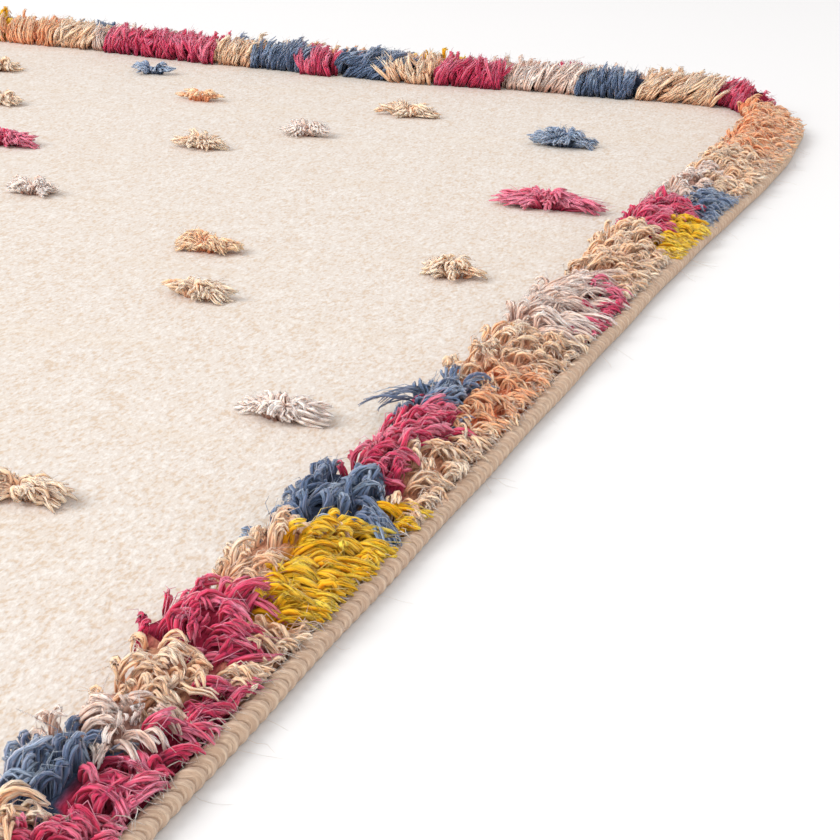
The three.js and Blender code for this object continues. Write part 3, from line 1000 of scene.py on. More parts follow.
FAR_INNER = patches(
    (P, -580, -50, 28, 50), (T, -501, -45, 30, 62), (B, -420, -12, 29, 66, 7, 40),
    (V, -354, -25, 30, 64), (P, -271, -15, 29, 70, 7, 35), (T, -206, 25, 27, 74, 7, 35),
    (B, -152, -50, 29, 70), (P, -82, 0, 29, 78, 7, 35), (B, -48, -20, 30, 72), (T, 8, -20, 28, 72),
    (P, 64, 10, 29, 76, 7, 35), (P, 128, -20, 28, 76, 7, 35), (V, 203, 0, 27, 72),
    (T, 226, -30, 28, 74), (C, 288, 0, 28, 76), (M, 358, 5, 28, 74), (P, 430, 0, 28, 74),
    (T, 500, 0, 28, 74),
)
FAR_OUTER = tuple(Patch(yarn, start, lean, 30, width=40) for yarn, start, lean in (
    (P, -580, -30), (T, -505, -15), (V, -420, 10), (P, -361, -20), (V, -306, 5), (M, -228, 0),
    (B, -154, -5), (C, -104, 5), (T, -38, 0), (B, 6, 5), (P, 60, 0), (V, 140, -5),
    (B, 222, 5), (T, 284, 0), (C, 300, 0), (T, 370, 0), (B, 430, 0), (M, 500, 0),
))
LANES = {
    Side.RIGHT: {Lane.INNER: RIGHT_INNER, Lane.OUTER: RIGHT_OUTER},
    Side.FAR: {Lane.INNER: FAR_INNER, Lane.OUTER: FAR_OUTER},
}
CURL_AND_FULLNESS = {T: (1.3, 0.9), B: (1.2, 1.0), C: (0.8, 0.8), V: (0.8, 0.9), M: (0.7, 1.2),
                     P: (0.9, 0.9)}
HIDDEN_ORDER = (T, P, B, V, M, T, C, P, V, B, T, P, M, B, T, C, V, P, T, B, C, M)
HIDDEN_LENGTHS = (76, 88, 64, 92, 70, 58, 84)


def hidden_lane(side: Side, lane: Lane) -> tuple[Patch, ...]:
    """Patches for a side that the plan has no table for, from one order of yarns.

    Args:
        side: the side.
        lane: the lane, which begins at another yarn.

    Returns:
        The lane's patches in order.
    """
    first = 5 * list(Side).index(side) + 9 * list(Lane).index(lane)
    found, start = [], -PLAN.half_run(side) - 20.0 * first
    while start < PLAN.half_run(side):
        turn = first + len(found)
        found.append(Patch(HIDDEN_ORDER[turn % len(HIDDEN_ORDER)], start, 40 * math.sin(turn * 2.4)))
        start += HIDDEN_LENGTHS[turn % len(HIDDEN_LENGTHS)]
    return tuple(found)


@dataclass(frozen=True)
class Mound:
    """The combed pile's height across the band, from its outer edge (0) to its inner one (1).

    outer is how far in the outer edge lies. The bed of knots ends foot short of the inner edge
    and lies sink below the pile's top.
    """

    shares: tuple[float, ...]
    heights: tuple[float, ...]
    foot: float
    sink: float
    outer: float = 8.0

    def top(self, inset: Array, reach: Array) -> Array:
        """Height of the pile at places that lie inset from the edge in a band that reaches so far."""
        return np.interp((inset - self.outer) / (reach - self.outer), self.shares, self.heights)


LYING = Mound((-0.1, 0.0, 0.08, 0.22, 0.42, 0.65, 0.85, 0.97, 1.06),
              (10.5, 11.5, 15.0, 21.0, 26.0, 28.0, 26.0, 20.0, 11.0), foot=4.0, sink=9.0)
STANDING = Mound((-0.1, 0.0, 0.1, 0.3, 0.55, 0.8, 0.95, 1.05),
                 (11.0, 14.0, 22.0, 29.0, 31.0, 30.0, 25.0, 14.0), foot=12.0, sink=5.0)


@dataclass(frozen=True)
class Knots:
    """Knots of one side: their way along it, how far in they lie, and their patches.

    gap is how far each lies from the ends of its patch, and index the patch's place in patches.
    """

    run: Array
    inset: Array
    gap: Array
    index: Array
    patches: list[Patch]

    def says(self, key: str) -> Array:
        """What the patch of each knot has under a name."""
        return np.array([getattr(patch, key) for patch in self.patches])[self.index]

    def kept(self, chosen: Array) -> "Knots":
        """The chosen ones."""
        parts = (part[chosen] for part in (self.run, self.inset, self.gap, self.index))
        return Knots(*parts, self.patches)


@dataclass(frozen=True)
class Locks:
    """For each root, the way to the middle of its lock, and the lock's lean, height and tone."""

    to_run: Array
    to_inset: Array
    lean: Array
    height: Array
    tone: Array

    def tones(self, rng: Chance) -> Array:
        """Draws the lightness of each strand, from 0 to 1, about its lock's."""
        return np.clip(0.5 + 0.16 * self.tone + rng.normal(0, 0.13, len(self.tone)), 0, 1)


@dataclass
class BorderPile:
    """The knotted shag band: a bed of packed knots and strands of six yarns on each side.

    spacing and lock are how far apart knots and locks lie, root_height is that of the knots, and
    highest that of anything, far_rise more on the far side. first_seen is where the photographed
    part of the right side begins; sparse is the share of knots kept before it. turned is the
    share of strands on the inner rim that lean inwards, and short that of strands cut short. pull
    is how far a strand's tip draws to the middle of its lock.
    """

    seen: Spinning
    far: Spinning
    plain: Spinning
    loose: Spinning
    spacing: float = 5.75
    far_spacing: float = 7.0
    plain_spacing: float = 7.4
    face_spacing: float = 3.2
    bed_spacing: float = 5.0
    lock: float = 11.0
    first_inset: float = 12.5
    last_inset: float = 80.0
    first_seen: float = -470.0
    sparse: float = 0.6
    rim: float = 9.0
    turned: float = 0.6
    short: float = 0.22
    pull: float = 0.3
    root_height: float = 5.6
    highest: float = 38.5
    far_rise: float = 2.2
    seed: int = 11

    def patch_at(self, side: Side, run: Array, inset: Array) -> Knots:
        """Finds the patch that each place of a side belongs to.

        Args:
            side: the side.
            run: places along it.
            inset: how far in they lie.

        Returns:
            The places with their patches.
        """
        place = run + 5 * np.sin(inset / 7.0 + run / 31.0) + 3 * np.sin(inset / 3.1 - run / 17.0)
        lanes = LANES.get(side) or {lane: hidden_lane(side, lane) for lane in Lane}
        found, gaps = {}, {}
        for lane in Lane:
            starts = np.array([patch.start for patch in lanes[lane]])
            found[lane] = np.clip(np.searchsorted(starts, place) - 1, 0, len(starts) - 1)
            gaps[lane] = np.abs(place[:, None] - starts[None, 1:]).min(1)
        border = np.array([patch.width for patch in lanes[Lane.OUTER]])[found[Lane.OUTER]]
        inner = inset > border + 4 * np.sin(run / 23.0) + 2.5 * np.sin(run / 9.0 + 1.0)
        index = np.where(inner, found[Lane.INNER], found[Lane.OUTER] + len(lanes[Lane.INNER]))
        gap = np.where(inner, gaps[Lane.INNER], gaps[Lane.OUTER])
        return Knots(run, inset, gap, index, [*lanes[Lane.INNER], *lanes[Lane.OUTER]])

    def roots(self, side: Side, rng: Chance) -> Knots:
        """Scatters knots evenly over a side's band, fewer where the corner draws the rows together.

        Args:
            side: the side.
            rng: the source of chance.

        Returns:
            The knots that lie within their patches.
        """
        end = PLAN.half_run(side) - 3
        spacing = {Side.RIGHT: self.spacing, Side.FAR: self.far_spacing}.get(side, self.plain_spacing)
        run, inset = np.meshgrid(np.arange(-end, end, spacing),
                                 np.arange(self.first_inset, self.last_inset, spacing))
        run = (run + rng.uniform(-0.5, 0.5, run.shape) * spacing).ravel()
        inset = (inset + rng.uniform(-0.5, 0.5, inset.shape) * spacing).ravel()
        in_corner = np.abs(run) > PLAN.half(side) - PLAN.corner
        room = np.where(in_corner, (PLAN.corner - inset) / PLAN.corner, 1.0)
        kept = rng.uniform(size=len(run)) < np.maximum(room, 0.25)
        whole = (run > self.first_seen) | (side is not Side.RIGHT)
        kept &= whole | (rng.uniform(size=len(run)) < self.sparse)
        knots = self.patch_at(side, np.clip(run, -end, end)[kept], np.clip(inset, 12.0, None)[kept])
        return knots.kept(knots.inset < knots.says("reach") - 3 + rng.normal(0, 1.5, len(knots.run)))

    def gather(self, run: Array, inset: Array, rng: Chance) -> Locks:
        """Groups roots into locks of neighbours that lie and lean together.

        Args:
            run: the roots' places along the side.
            inset: how far in they lie.
            rng: the source of chance.

        Returns:
            Each root's lock.
        """
        row = np.floor((inset + 2.5 * np.sin(run / 7.0)) / self.lock)
        column = np.floor((run + 2.5 * np.sin(inset / 5.0)) / self.lock + 0.5 * (row % 2))
        _, key = np.unique(row * 100000 + column, return_inverse=True)
        key = key.ravel()
        count = np.bincount(key)
        middle_run, middle_inset = ((np.bincount(key, part) / count)[key] for part in (run, inset))
        chance = rng.normal(0, 1, (len(count), 3))[key]
        return Locks(middle_run - run, middle_inset - inset, *chance.T)

    def lift(self, run: Array, inset: Array, gap: Array) -> Array:
        """How much the pile's height differs from the mound's: lumps, and valleys between patches."""
        lumps = 1 + 0.07 * np.sin(run / 13.0 + inset / 9.0) + 0.05 * np.sin(run / 5.3 - inset / 6.1)
        return lumps * (1 - 0.2 * np.exp(-(gap / 6.0) ** 2))

    def bend(self, side: Side, knots: Knots, rng: Chance) -> tuple[Array, Array]:
        """Combs strands over the mound: each rises from its knot and then follows the mound's top.

        Args:
            side: the side.
            knots: the strands' knots.
            rng: the source of chance.

        Returns:
            Four control points for each strand, and its tone.
        """
        run, inset, band, count = knots.run, knots.inset, knots.says("reach"), len(knots.run)
        on_far = side is Side.FAR
        mound = STANDING if on_far else LYING
        locks = self.gather(run, inset, rng)
        lift = self.lift(run, inset, knots.gap) * (1 + 0.07 * locks.height) * knots.says("rise")
        lean = np.radians(knots.says("lean") + locks.lean * knots.says("spread") + rng.normal(0, 10, count))
        turned = (inset > band - self.rim) & (rng.uniform(size=count) < (0.0 if on_far else self.turned))
        lean = np.where(turned, math.pi - lean, lean)
        top = mound.top(inset, band) * lift
        length = knots.says("length") * rng.uniform(0.85, 1.15, count)
        reach = np.maximum(length - 0.6 * (top - self.root_height), 6.0)
        reach = np.where(turned, rng.uniform(2.0, 6.5, count), reach)
        reach = np.where(rng.uniform(size=count) < self.short, rng.uniform(3.0, 9.0, count), reach)
        if on_far:
            reach *= rng.uniform(0.35, 0.85, count)
        room = inset - (knots.says("spill") + rng.normal(0, 1.2, count))
        outward = np.cos(lean)
        room = np.maximum(room / np.maximum(outward, 0.2), 2.0)
        reach = np.where(outward > 0.2, np.minimum(reach, room), reach)
        depth = rng.uniform(-3.5, 1.8, count)
        spine = []
        for share, climb, above in ((0.08, 0.85, 0.0), (0.55, 1.0, 2.0), (1.0, 0.95, 0.0)):
            in_k = inset - share * reach * outward + self.pull * share * locks.to_inset
            run_k = run + share * reach * np.sin(lean) + self.pull * share * locks.to_run
            spine.append([run_k, in_k, mound.top(in_k, band) * lift * climb + above + depth * share])
        tip = spine[2]
        tip[2] += rng.uniform(*((-2.5, 3.0) if on_far else (-3.5, 0.5)), count)
        tip[2] = np.where(tip[1] < PLAN.cord + 1, np.maximum(tip[2], PLAN.cord + 0.9), tip[2])
        tip[2] = np.clip(tip[2], 7.5, self.highest)
        end = PLAN.half_run(side) + 6
        points = [PLAN.point(side, run, inset, self.root_height)]
        points += [PLAN.point(side, np.clip(r, -end, end), i, u) for r, i, u in spine]
        return np.stack(points, axis=1), locks.tones(rng)

    def face(self, side: Side, rng: Chance) -> tuple[Array, Array, Array]:
        """Stands strands against the steep inner face of a side's pile.

        Args:
            side: the side.
            rng: the source of chance.

        Returns:
            Four control points for each strand, its tone and its patch's index.
        """
        end = PLAN.half_run(side) - 4
        run = np.repeat(np.arange(-end, end, self.face_spacing), 2)
        count = len(run)
        run = run + rng.uniform(-1.5, 1.5, count)
        knots = self.patch_at(side, run, np.full(count, 75.0))
        low = np.where(rng.uniform(size=count) < 0.5, 5.8, rng.uniform(8, 20, count))
        locks = self.gather(run, 1.3 * low, rng)
        high = np.clip(31 + 2.8 * locks.height + rng.normal(0, 3.0, count), 20, self.highest)
        lean = knots.says("lean") + 0.5 * locks.lean * knots.says("spread") + rng.normal(0, 9, count)
        lean = np.radians(np.clip(lean, -62, 62))
        over, up = (high - low) * np.tan(lean), high - low
        bulge = 1.5 * locks.tone
        steps = (
            (0.0, 0.0, -rng.uniform(1, 5, count)),
            (0.15, 0.25, rng.uniform(0, 3, count) + bulge),
            (0.6, 0.8, rng.uniform(-3, 1.5, count) + bulge),
            (1.0, 1.0, rng.uniform(-14, -3, count)),
        )
        points = []
        for way, climb, inset in steps:
            along = np.clip(run + way * over + 0.5 * way * locks.to_run, -end - 8, end + 8)
            points.append(PLAN.point(side, along, knots.says("reach") + inset, low + climb * up))
        return np.stack(points, axis=1), locks.tones(rng), knots.index

    def loose_ends(self, rng: Chance) -> Array:
        """Draws the long ends that lie out of the small blue patch over the cloth.

        Args:
            rng: the source of chance.

        Returns:
            Four control points for each.
        """
        count = 6
        run, way = rng.uniform(-58, -20, count), rng.normal(-2, 6, count)
        steps = ((0.0, 56, 22), (0.3, 63, 26), (0.7, 74, 20), (1.0, 85, 13))
        return np.stack([
            PLAN.point(Side.RIGHT, run + share * way, inset + share * rng.normal(0, 6, count),
                       up + rng.normal(0, 1.2, count))
            for share, inset, up in steps], axis=1)

    def build(self, finishes: dict[Yarn, Material]) -> None:
        """Makes the pieces of all four sides.

        Args:
            finishes: the material of each yarn.
        """
        bed_finish = BedFinish().dress("knot_bed")
        low = PLAN.cord + 0.5
        for number, side in enumerate(Side):
            rng = np.random.default_rng(self.seed + number)
            node, on_far = f"border_pile_{side.value}", side is Side.FAR
            high = self.highest + self.far_rise * on_far
            knots = self.roots(side, rng)
            control, tone = self.bend(side, knots, rng)
            near = (knots.run > self.first_seen) & (side is Side.RIGHT)
            index = knots.index
            if on_far:
                face, face_tone, face_index = self.face(side, rng)
                control, tone = np.concatenate([control, face]), np.concatenate([tone, face_tone])
                index, near = np.concatenate([index, face_index]), np.full(len(tone), True)
            for yarn in Yarn:
                mine = np.array([patch.yarn is yarn for patch in knots.patches])[index]
                if not mine.any():
                    continue
                strands = Strands(rng)
                finer = self.seen if side is Side.RIGHT else self.far
                for spinning, chosen in ((finer, mine & near), (self.plain, mine & ~near)):
                    spinning.spin(strands, control[chosen], tone[chosen], low, high,
                                  *CURL_AND_FULLNESS[yarn])
                if side is Side.RIGHT and yarn is Yarn.BLUE:
                    ends = self.loose_ends(rng)
                    self.loose.spin(strands, ends, np.full(len(ends), 0.2), low, high)
                name = f"{node}_{yarn.value}"
                piece = new_piece(name, strands.mesh(name), finishes[yarn])
                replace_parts(piece, node)
            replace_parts(self.bed(side, bed_finish), node)

    def bed(self, side: Side, material: Material) -> Piece:
        """Makes the low mound of knots that the strands stand in.

        Args:
            side: the side.
            material: its finish.

        Returns:
            The piece.
        """
        mound = STANDING if side is Side.FAR else LYING
        shares = np.array([0.16, 0.04, 0.1, 0.22, 0.36, 0.52, 0.68, 0.82, 0.92, 0.96, 0.9, 0.5])
        below = np.isin(np.arange(len(shares)), (0, 10, 11))
        end = PLAN.half_run(side) - 0.5
        runs = np.linspace(-end, end, int(2 * end / self.bed_spacing))

        def corner_of(turn: Array) -> Array:
            """The corner of the mound's section at shares of a turn."""
            return np.round(turn * len(shares)).astype(int) % len(shares)

        def knots_at(run: Array, turn: Array) -> Knots:
            """The patches at places along the side and shares of a turn."""
            return self.patch_at(side, run, 8 + shares[corner_of(turn)] * 64)

        def place(run: Array, turn: Array) -> Array:
            """Places on the mound.

            Args:
                run: places along the side.
                turn: shares of a turn about the mound's section.

            Returns:
                The places.
            """
            corner, knots = corner_of(turn), knots_at(run, turn)
            reach = knots.says("reach")
            inset = mound.outer + shares[corner] * (reach - mound.outer - mound.foot)
            top = mound.top(inset, reach) * self.lift(run, inset, knots.gap) - mound.sink
            top += 1.2 * np.sin(run * 1.9 + corner * 2.1) * np.sin(run * 0.67 + corner)
            return PLAN.point(side, run, inset, np.where(below[corner], 6.1, np.maximum(top, 6.6)))

        mesh, along, turn = swept(f"knot_bed_{side.value}", runs, len(shares), place)
        knots = knots_at(along, turn)
        wool = [PILE_FINISHES[patch.yarn] for patch in knots.patches]
        # Each bed colour is the dye taken two thirds of the way towards the root colour: painted shade
        # under the strands.
        dyes_and_shade = [(np.array(linear(finish.body)) + 2 * np.array(linear(finish.root))) / 3 for finish in wool]
        write_attribute(mesh, "dye_and_shade", np.array([[*dye_and_shade, 1.0] for dye_and_shade in dyes_and_shade])[knots.index])
        return new_piece(f"knot_bed_{side.value}", mesh, material)


@dataclass
class EdgeCord:
    """The whip-stitched edge: fat round stitches that lean on top and run straight down outside.

    samples are the places across a stitch, from 0 to 1, at which the cord has a ring. Below foot
    the cord is pressed flat, and slack leaves each mitre open.
    """

    radius: float = 5.2
    stitch: float = 8.1
    ridge: float = 2.3
    slant: float = 0.34
    samples: tuple[float, ...] = (0.0, 0.12, 0.3, 0.5, 0.7, 0.88)
    around: int = 14
    foot: float = 1.3
    slack: float = 0.2

    def build(self) -> None:
        """Makes the cord of each side."""
        material = CordFinish().dress("stitched_edge")
        for side in Side:
            node = f"edge_cord_{side.value}"
            count = int(PLAN.half_run(side) / self.stitch)
            rings = np.append((np.arange(-count, count)[:, None] + np.array(self.samples)).ravel(), count)
            mesh, phase, turn = swept(f"{node}_stitches", rings, self.around,
                                      lambda phase, turn: self.place(side, count, phase, turn))
            write_attribute(mesh, "rise", self.relief(phase))
            corners = np.zeros(len(mesh.loops), np.int32)
            mesh.loops.foreach_get("vertex_index", corners)
            write_map(mesh, "wrap", np.stack([phase, np.abs(turn - 0.5) * 2], axis=-1)[corners])
            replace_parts(new_piece(f"{node}_stitches", mesh, material), node)

    def relief(self, phase: Array) -> Array:
        """Height of the stitches' ridges from 0 to 1."""
        return np.sin(math.pi * (phase % 1.0)) ** 0.85

    def place(self, side: Side, count: int, phase: Array, turn: Array) -> Array:
        """Places on the cord.

        Args:
            side: the cord's side.
            count: how many stitches each half of it has.
            phase: the stitches passed since its middle.
            turn: shares of a turn about the cord, from its inner side over the top.

        Returns:
            The places.
        """
        angle = turn * FULL_TURN
        swell = 0.25 * np.sin(np.floor(phase) * 12.9898) + 0.1 * np.sin(phase * 0.4)
        radius = self.radius - self.ridge + (self.ridge + swell) * self.relief(phase)
        fade = ease((count - np.abs(phase)) / 3)
        length = (PLAN.half_run(side) - self.slack) / count
        run = phase * length + fade * (1.4 * np.sin(phase * 0.22) + self.slant * length * np.cos(angle))
        up = self.radius + radius * np.sin(angle)
        up = np.where(up < self.foot, up * 0.25, up)
        return PLAN.point(side, run, self.radius - radius * np.cos(angle), np.maximum(up, 0.0))


@dataclass(frozen=True)
class Fibres:
    """A kind of loose fibre: how many, how far each drifts along the side, and their radius.

    way holds the spans of the inset and of the height at four places along a fibre.
    """

    count: int
    drift: float
    thick: Span
    way: tuple[tuple[Span, Span], ...]


@dataclass
class StrayFibres:
    """Loose fibres: fuzz from the pile over the cord, and hairs that lie out on the floor."""

    hair: Template
    fuzz: Fibres = Fibres(420, 5.0, (0.14, 0.28), (
        ((11, 17), (9, 13)), ((8, 12), (12.5, 15)), ((5, 8), (11.5, 13)), ((2, 6), (10, 11.5))))
    floor: Fibres = Fibres(40, 9.0, (0.05, 0.09), (
        ((3, 5), (4, 9)), ((-2, 1), (1, 5)), ((-9, -3), (0.3, 2)), ((-20, -5), (0.25, 0.8))))
    seed: int = 401

    def build(self) -> None:
        """Makes the fibres along the right side."""
        rng = np.random.default_rng(self.seed)
        strands = Strands(rng)
        for kind in (self.fuzz, self.floor):
            count, drift = kind.count, kind.drift
            run = rng.uniform(-460, 740, count)
            way = rng.normal(0, drift, count)
            control = np.stack([
                PLAN.point(Side.RIGHT, run + way * share ** 0.5 + rng.normal(0, 0.3 * drift, count) * share,
                           rng.uniform(*inset, count), rng.uniform(*up, count))
                for share, (inset, up) in zip((0.0, 0.3, 0.7, 1.0), kind.way)], axis=1)
            course = Course.draw(control, rng.uniform(0.4, 1.4, count), rng)
            share = np.tile(np.linspace(0, 1, self.hair.steps + 1), (count, 1))
            line, aside, over = course.along(share)
            line[..., 2] = np.maximum(line[..., 2], 0.3)
            strands.add(self.hair, (line, aside, over), rng.uniform(*kind.thick, count),
                        rng.uniform(0.3, 1, count))
        new_piece("stray_fibres", strands.mesh("stray_fibres"), FIBRE_FINISH.dress("loose_fibres"))


@dataclass
class GroundCloth:
    """The flat-woven panel: a fine net between the four edges, uneven above and level below.

    weft and nap are how far rows and single points of the net differ in height, and threads how
    many lengths of weft a row has.
    """

    cells_x: int = 120
    cells_y: int = 170
    weft: float = 0.14
    nap: float = 0.132
    threads: int = 8
    seed: int = 5

    def net(self) -> Array:
        """Stretches a net of points between the four edges.

        Returns:
            Points in rows along X, from near to far, in millimetres and without height.
        """
        s, t = np.linspace(0, 1, self.cells_x + 1), np.linspace(0, 1, self.cells_y + 1)

        def edge(side: Side, share: Array) -> Array:
            """Points of one edge at shares of its way."""
            inset = np.full_like(share, PLAN.cord + PLAN.gap)
            return np.stack(PLAN.neat(side, (2 * share - 1) * PLAN.half_run(side), inset), -1)

        near, far = edge(Side.NEAR, s), edge(Side.FAR, 1 - s)
        right, left = edge(Side.RIGHT, t), edge(Side.LEFT, 1 - t)
        s, t = s[None, :, None], t[:, None, None]
        flat = (1 - t) * near[None] + t * far[None] + (1 - s) * left[:, None] + s * right[:, None]
        low, high = ((1 - s) * row[0] + s * row[-1] for row in (near, far))
        return flat - (1 - t) * low - t * high

    def face(self, x: Array, y: Array) -> Array:
        """Gives the woven face its height.

        Args:
            x: the net's places in X.
            y: the net's places in Y.

        Returns:
            The height at each of them.
        """
        rng = np.random.default_rng(self.seed)
        top = PLAN.cloth_top(x, y)
        in_field = np.clip((top - PLAN.cloth) / 0.2, 0, 1)
        rows = rng.normal(0, 1, (len(x), 1))
        lengths = 0.6 * rng.normal(0, 1, (len(x), self.threads))
        lengths = lengths.repeat(self.cells_x // self.threads + 2, axis=1)[:, : self.cells_x + 1]
        return top + in_field * (self.weft * (rows + lengths) + self.nap * rng.normal(0, 1, top.shape))

    def build(self) -> None:
        """Makes the cloth."""
        x, y = np.moveaxis(self.net(), -1, 0)
        lie_x, lie_y = PLAN.lie(x, y)
        points = to_metres(np.stack([lie_x, lie_y, self.face(x, y)], -1).reshape(-1, 3))
        shape = bmesh.new()
        bmesh.ops.create_grid(shape, x_segments=self.cells_x, y_segments=self.cells_y, size=1.0)
        order = sorted(shape.verts, key=lambda vertex: (round(vertex.co.y, 5), round(vertex.co.x, 5)))
        for vertex, point in zip(order, points):
            vertex.co = point
        rim = [edge for edge in shape.edges if edge.is_boundary]
        grown = bmesh.ops.extrude_edge_only(shape, edges=rim)["geom"]
        for vertex in (part for part in grown if isinstance(part, bmesh.types.BMVert)):
            vertex.co.z = 0.0
        foot = [part for part in grown if isinstance(part, bmesh.types.BMEdge)]
        bmesh.ops.holes_fill(shape, edges=foot, sides=0)
        bmesh.ops.recalc_face_normals(shape, faces=shape.faces)
        mesh, material = mesh_of(shape, "ground_cloth_weave"), WeaveFinish().dress("flat_weave")
        piece = new_piece("ground_cloth_weave", mesh, material)
        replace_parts(piece, "ground_cloth")
        size = (PLAN.width - 2 * PLAN.cord, PLAN.length - 2 * PLAN.cord)
        size[0] * MM
        size[1] * MM


@dataclass(frozen=True)
class Tuft:
    """One tuft: its yarn, its middle, its length along X, its depth along Y and its height."""

    yarn: Yarn
    x: float
    y: float
    length: float
    depth: float = 26.0
    height: float = 15.0


TUFTS = tuple(Tuft(*row) for row in (
    (V, 465, -72, 56), (T, 320, 79, 49, 24, 14), (C, 274, 169, 50, 24, 14), (T, 454, 185, 44, 26, 16),
    (P, 460, 368, 84, 26, 17), (B, 407, 554, 57, 28, 18), (T, 232, 608, 62), (V, 181, 498, 45, 26, 16),
    (T, 116, 421, 52), (V, 73, 239, 42, 24, 16), (P, -49, 364, 66, 26, 16), (T, -154, 494, 56),
    (T, -254, 625, 54), (T, 390, -207, 58), (B, 243, -84, 54, 26, 16), (P, 96, 56, 60, 26, 16),
    (M, -66, 170, 52), (B, -214, 280, 56, 26, 17), (C, -322, 414, 50, 24), (V, -420, 550, 48, 26, 16),
    (P, -448, 712, 60, 26, 16), (C, 20, 582, 50, 24), (B, -96, 676, 54, 26, 16), (T, -392, 226, 54),
    (V, -256, 94, 46, 26, 16), (T, -108, -10, 52), (C, 72, -164, 50, 24), (T, 214, -290, 54),
    (P, 452, -368, 64, 26, 16), (P, -424, 34, 62, 26, 16), (B, -276, -110, 54, 26, 16),
    (V, -92, -236, 48, 26, 16), (M, 62, -380, 52), (T, 286, -476, 54), (C, -430, -194, 50, 24),
    (T, -262, -340, 54), (P, -106, -468, 60, 26, 16), (B, 96, -594, 54, 26, 16),
    (V, 352, -652, 48, 26, 16), (T, -404, -450, 54), (M, -286, -588, 52), (C, -110, -690, 50, 24),
))


@dataclass
class FieldTufts:
    """The scattered knots of pile: short yarns that fan out low from a row of knots along X.

    The first tufts of the table, as many as shown says, are made finer, with seen_yarns for each
    millimetre of length; the others have plain_yarns. full is how thick the yarns are beside the
    border's, and highest how far they stand above the cloth.
    """

    seen: Spinning
    plain: Spinning
    shown: int = 14
    seen_yarns: float = 0.85
    plain_yarns: float = 0.45
    full: float = 1.25
    highest: float = 24.0
    seed: int = 71

    def yarns_of(self, tuft: Tuft, count: int, rng: Chance) -> Array:
        """Control points of a tuft's yarns.

        Args:
            tuft: the tuft.
            count: how many yarns it has.
            rng: the source of chance.

        Returns:
            Four control points for each yarn.
        """
        turn = rng.uniform(0, FULL_TURN, count)
        away = np.sqrt(rng.uniform(0.1, 1.0, count))
        tip = np.stack([0.58 * away * np.cos(turn) * tuft.length,
                        0.62 * away * np.sin(turn) * tuft.depth], -1)
        root = tip * np.array([0.42, 0.15]) * rng.uniform(0.4, 1.0, (count, 1))
        root += rng.normal(0, 1.2, (count, 2))
        base = PLAN.cloth_top(np.array(tuft.x), np.array(tuft.y)) - 0.5
        crown = tuft.height * 0.95 * (1 - 0.55 * away ** 2)
        crown = crown * rng.uniform(0.55, 1.1, count)
        ups = (np.zeros(count), crown, crown * 1.1, np.maximum(crown * 0.75, 1.6))
        points = []
        for share, up in zip((0.0, 0.12, 0.55, 1.0), ups):
            spot = root + share * (tip - root) + rng.normal(0, 1.2, (count, 2)) * share
            points.append(np.stack([tuft.x + spot[:, 0], tuft.y + spot[:, 1], base + up], -1))
        return np.stack(points, axis=1)

    def build(self, finishes: dict[Yarn, Material]) -> None:
        """Makes one piece for each yarn, with all the tufts of that yarn.

        Args:
            finishes: the material of each yarn.
        """
        low, high = PLAN.cloth + 1, PLAN.cloth + self.highest
        for number, yarn in enumerate(Yarn):
            rng = np.random.default_rng(self.seed + number)
            strands = Strands(rng)
            mine = {index: tuft for index, tuft in enumerate(TUFTS, start=1) if tuft.yarn is yarn}
            for index, tuft in mine.items():
                spinning, share = ((self.seen, self.seen_yarns) if index <= self.shown
                                   else (self.plain, self.plain_yarns))
                control = self.yarns_of(tuft, int(tuft.length * share), rng)
                tone = np.clip(rng.normal(0.9, 0.2, len(control)), 0, 1)
                spinning.spin(strands, control, tone, low, high, full=self.full)
            name = f"tufts_{yarn.value}"
            piece = new_piece(name, strands.mesh(name), finishes[yarn])
            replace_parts(piece, *[f"tuft_{index:02d}_{yarn.value}" for index in mine])


@dataclass(frozen=True)
class Light:
    """A square, soft light: its place and size in metres and its power in watts."""

    name: str
    place: tuple[float, float, float]
    size: float
    power: float


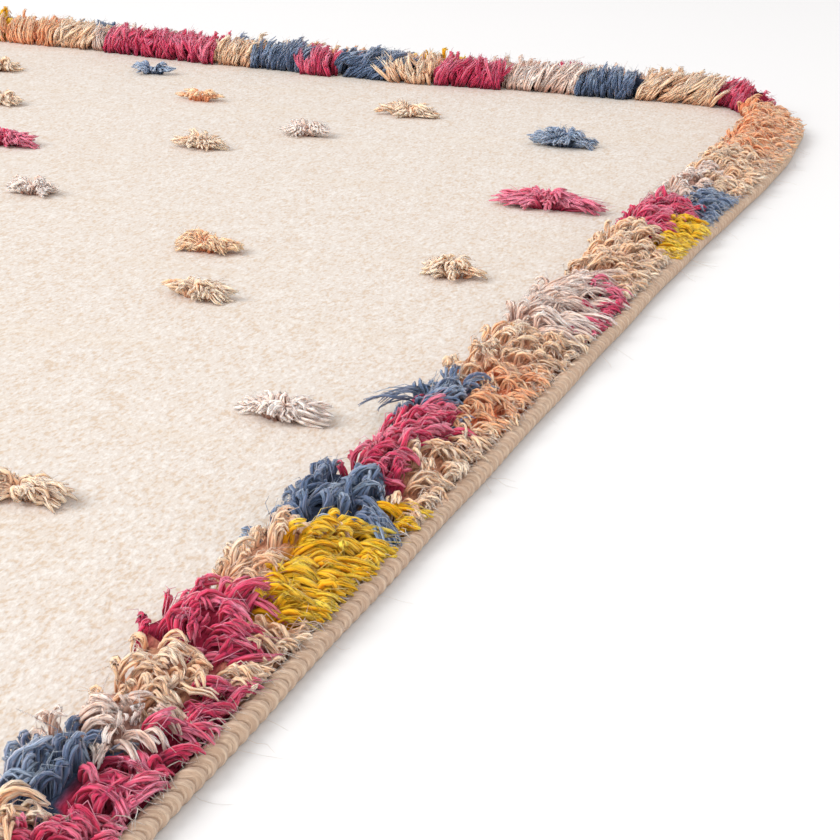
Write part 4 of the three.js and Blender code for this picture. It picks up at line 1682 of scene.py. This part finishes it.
@dataclass
class Studio:
    """The plain pale floor, the soft light from the left and the camera close above the rug.

    The camera's place is in the plan's millimetres, and its tilt and turn are in degrees.
    """

    camera_at: tuple[float, float, float] = (852.7, -766.9, 355.0)
    pitch: float = 23.78
    yaw: float = 23.82
    frame_pixels: float = 840.0
    focal_pixels: float = 1600.0
    sensor: float = 36.0
    clip: Span = (0.01, 60.0)
    floor_size: float = 16.0
    surround: float = 0.9
    surround_color: Rgb = (1.0, 0.985, 0.99)
    light_color: Rgb = (1.0, 0.985, 0.965)
    aim: tuple[float, float, float] = (0.2, 0.0, 0.0)
    lights: tuple[Light, ...] = (Light("window_left", (-2.7, -2.8, 3.7), 3.0, 262.0),
                                 Light("fill_right", (2.5, -2.6, 2.2), 2.6, 30.0))

    def build(self) -> None:
        """Makes the floor, the lights and the camera."""
        self.build_floor()
        self.build_lights()
        self.build_camera()

    def build_floor(self) -> None:
        """Makes the floor."""
        shape = bmesh.new()
        bmesh.ops.create_grid(shape, x_segments=1, y_segments=1, size=self.floor_size / 2)
        mesh = mesh_of(shape, "floor")
        mesh.materials.append(FloorFinish().dress("pale_floor"))
        floor = bpy.data.objects.new("floor", mesh)
        bpy.context.scene.collection.objects.link(floor)

    def build_lights(self) -> None:
        """Makes a large soft light on the left, a weaker one on the right and an even surround."""
        world = bpy.data.worlds.new("surround")
        bpy.context.scene.world = world
        world.use_nodes = True
        background = world.node_tree.nodes["Background"]
        background.inputs["Color"].default_value = (*self.surround_color, 1.0)
        background.inputs["Strength"].default_value = self.surround
        for kind in self.lights:
            light = bpy.data.lights.new(kind.name, "AREA")
            light.size = kind.size
            light.energy = kind.power
            light.color = self.light_color
            lamp = bpy.data.objects.new(kind.name, light)
            lamp.location = kind.place
            lamp.rotation_mode = "QUATERNION"
            lamp.rotation_quaternion = (Vector(self.aim) - lamp.location).to_track_quat("-Z", "Y")
            bpy.context.scene.collection.objects.link(lamp)

    def build_camera(self) -> None:
        """Makes the camera."""
        lens = bpy.data.cameras.new("view")
        lens.sensor_width = self.sensor
        lens.lens = self.sensor * self.focal_pixels / self.frame_pixels
        lens.clip_start, lens.clip_end = self.clip
        camera = bpy.data.objects.new("view", lens)
        camera.location = to_metres(np.array(self.camera_at))
        camera.rotation_euler = (math.radians(90 - self.pitch), 0.0, math.radians(self.yaw))
        bpy.context.scene.collection.objects.link(camera)
        bpy.context.scene.camera = camera
        bpy.context.scene.view_settings.view_transform = "Standard"


def main() -> None:
    """Builds the rug piece by piece, then its setting."""
    logging.basicConfig(level=logging.INFO, format="%(name)s %(message)s")
    finest, fine, tube, hair = (Template.tube(3, steps) for steps in (8, 6, 4, 3))
    seen = Spinning(3, 1.2, 1.2, 1.5, finest, hair, skip=0.12)
    tufted = Spinning(3, 1.15, 1.2, 1.6, fine, hair)
    far = Spinning(3, 1.4, 1.3, 1.2, tube, hair)
    plain = Spinning(1, 1.7, 0.0, 0.3, tube, hair)
    loose = Spinning(2, 0.55, 0.5, 1.0, finest, hair)
    finishes = {yarn: finish.dress(f"wool_{yarn.value}") for yarn, finish in PILE_FINISHES.items()}
    GroundCloth().build()
    EdgeCord().build()
    BorderPile(seen, far, plain, loose).build(finishes)
    FieldTufts(tufted, plain).build(finishes)
    StrayFibres(tube).build()
    Studio().build()


if __name__ == "__main__":
    main()
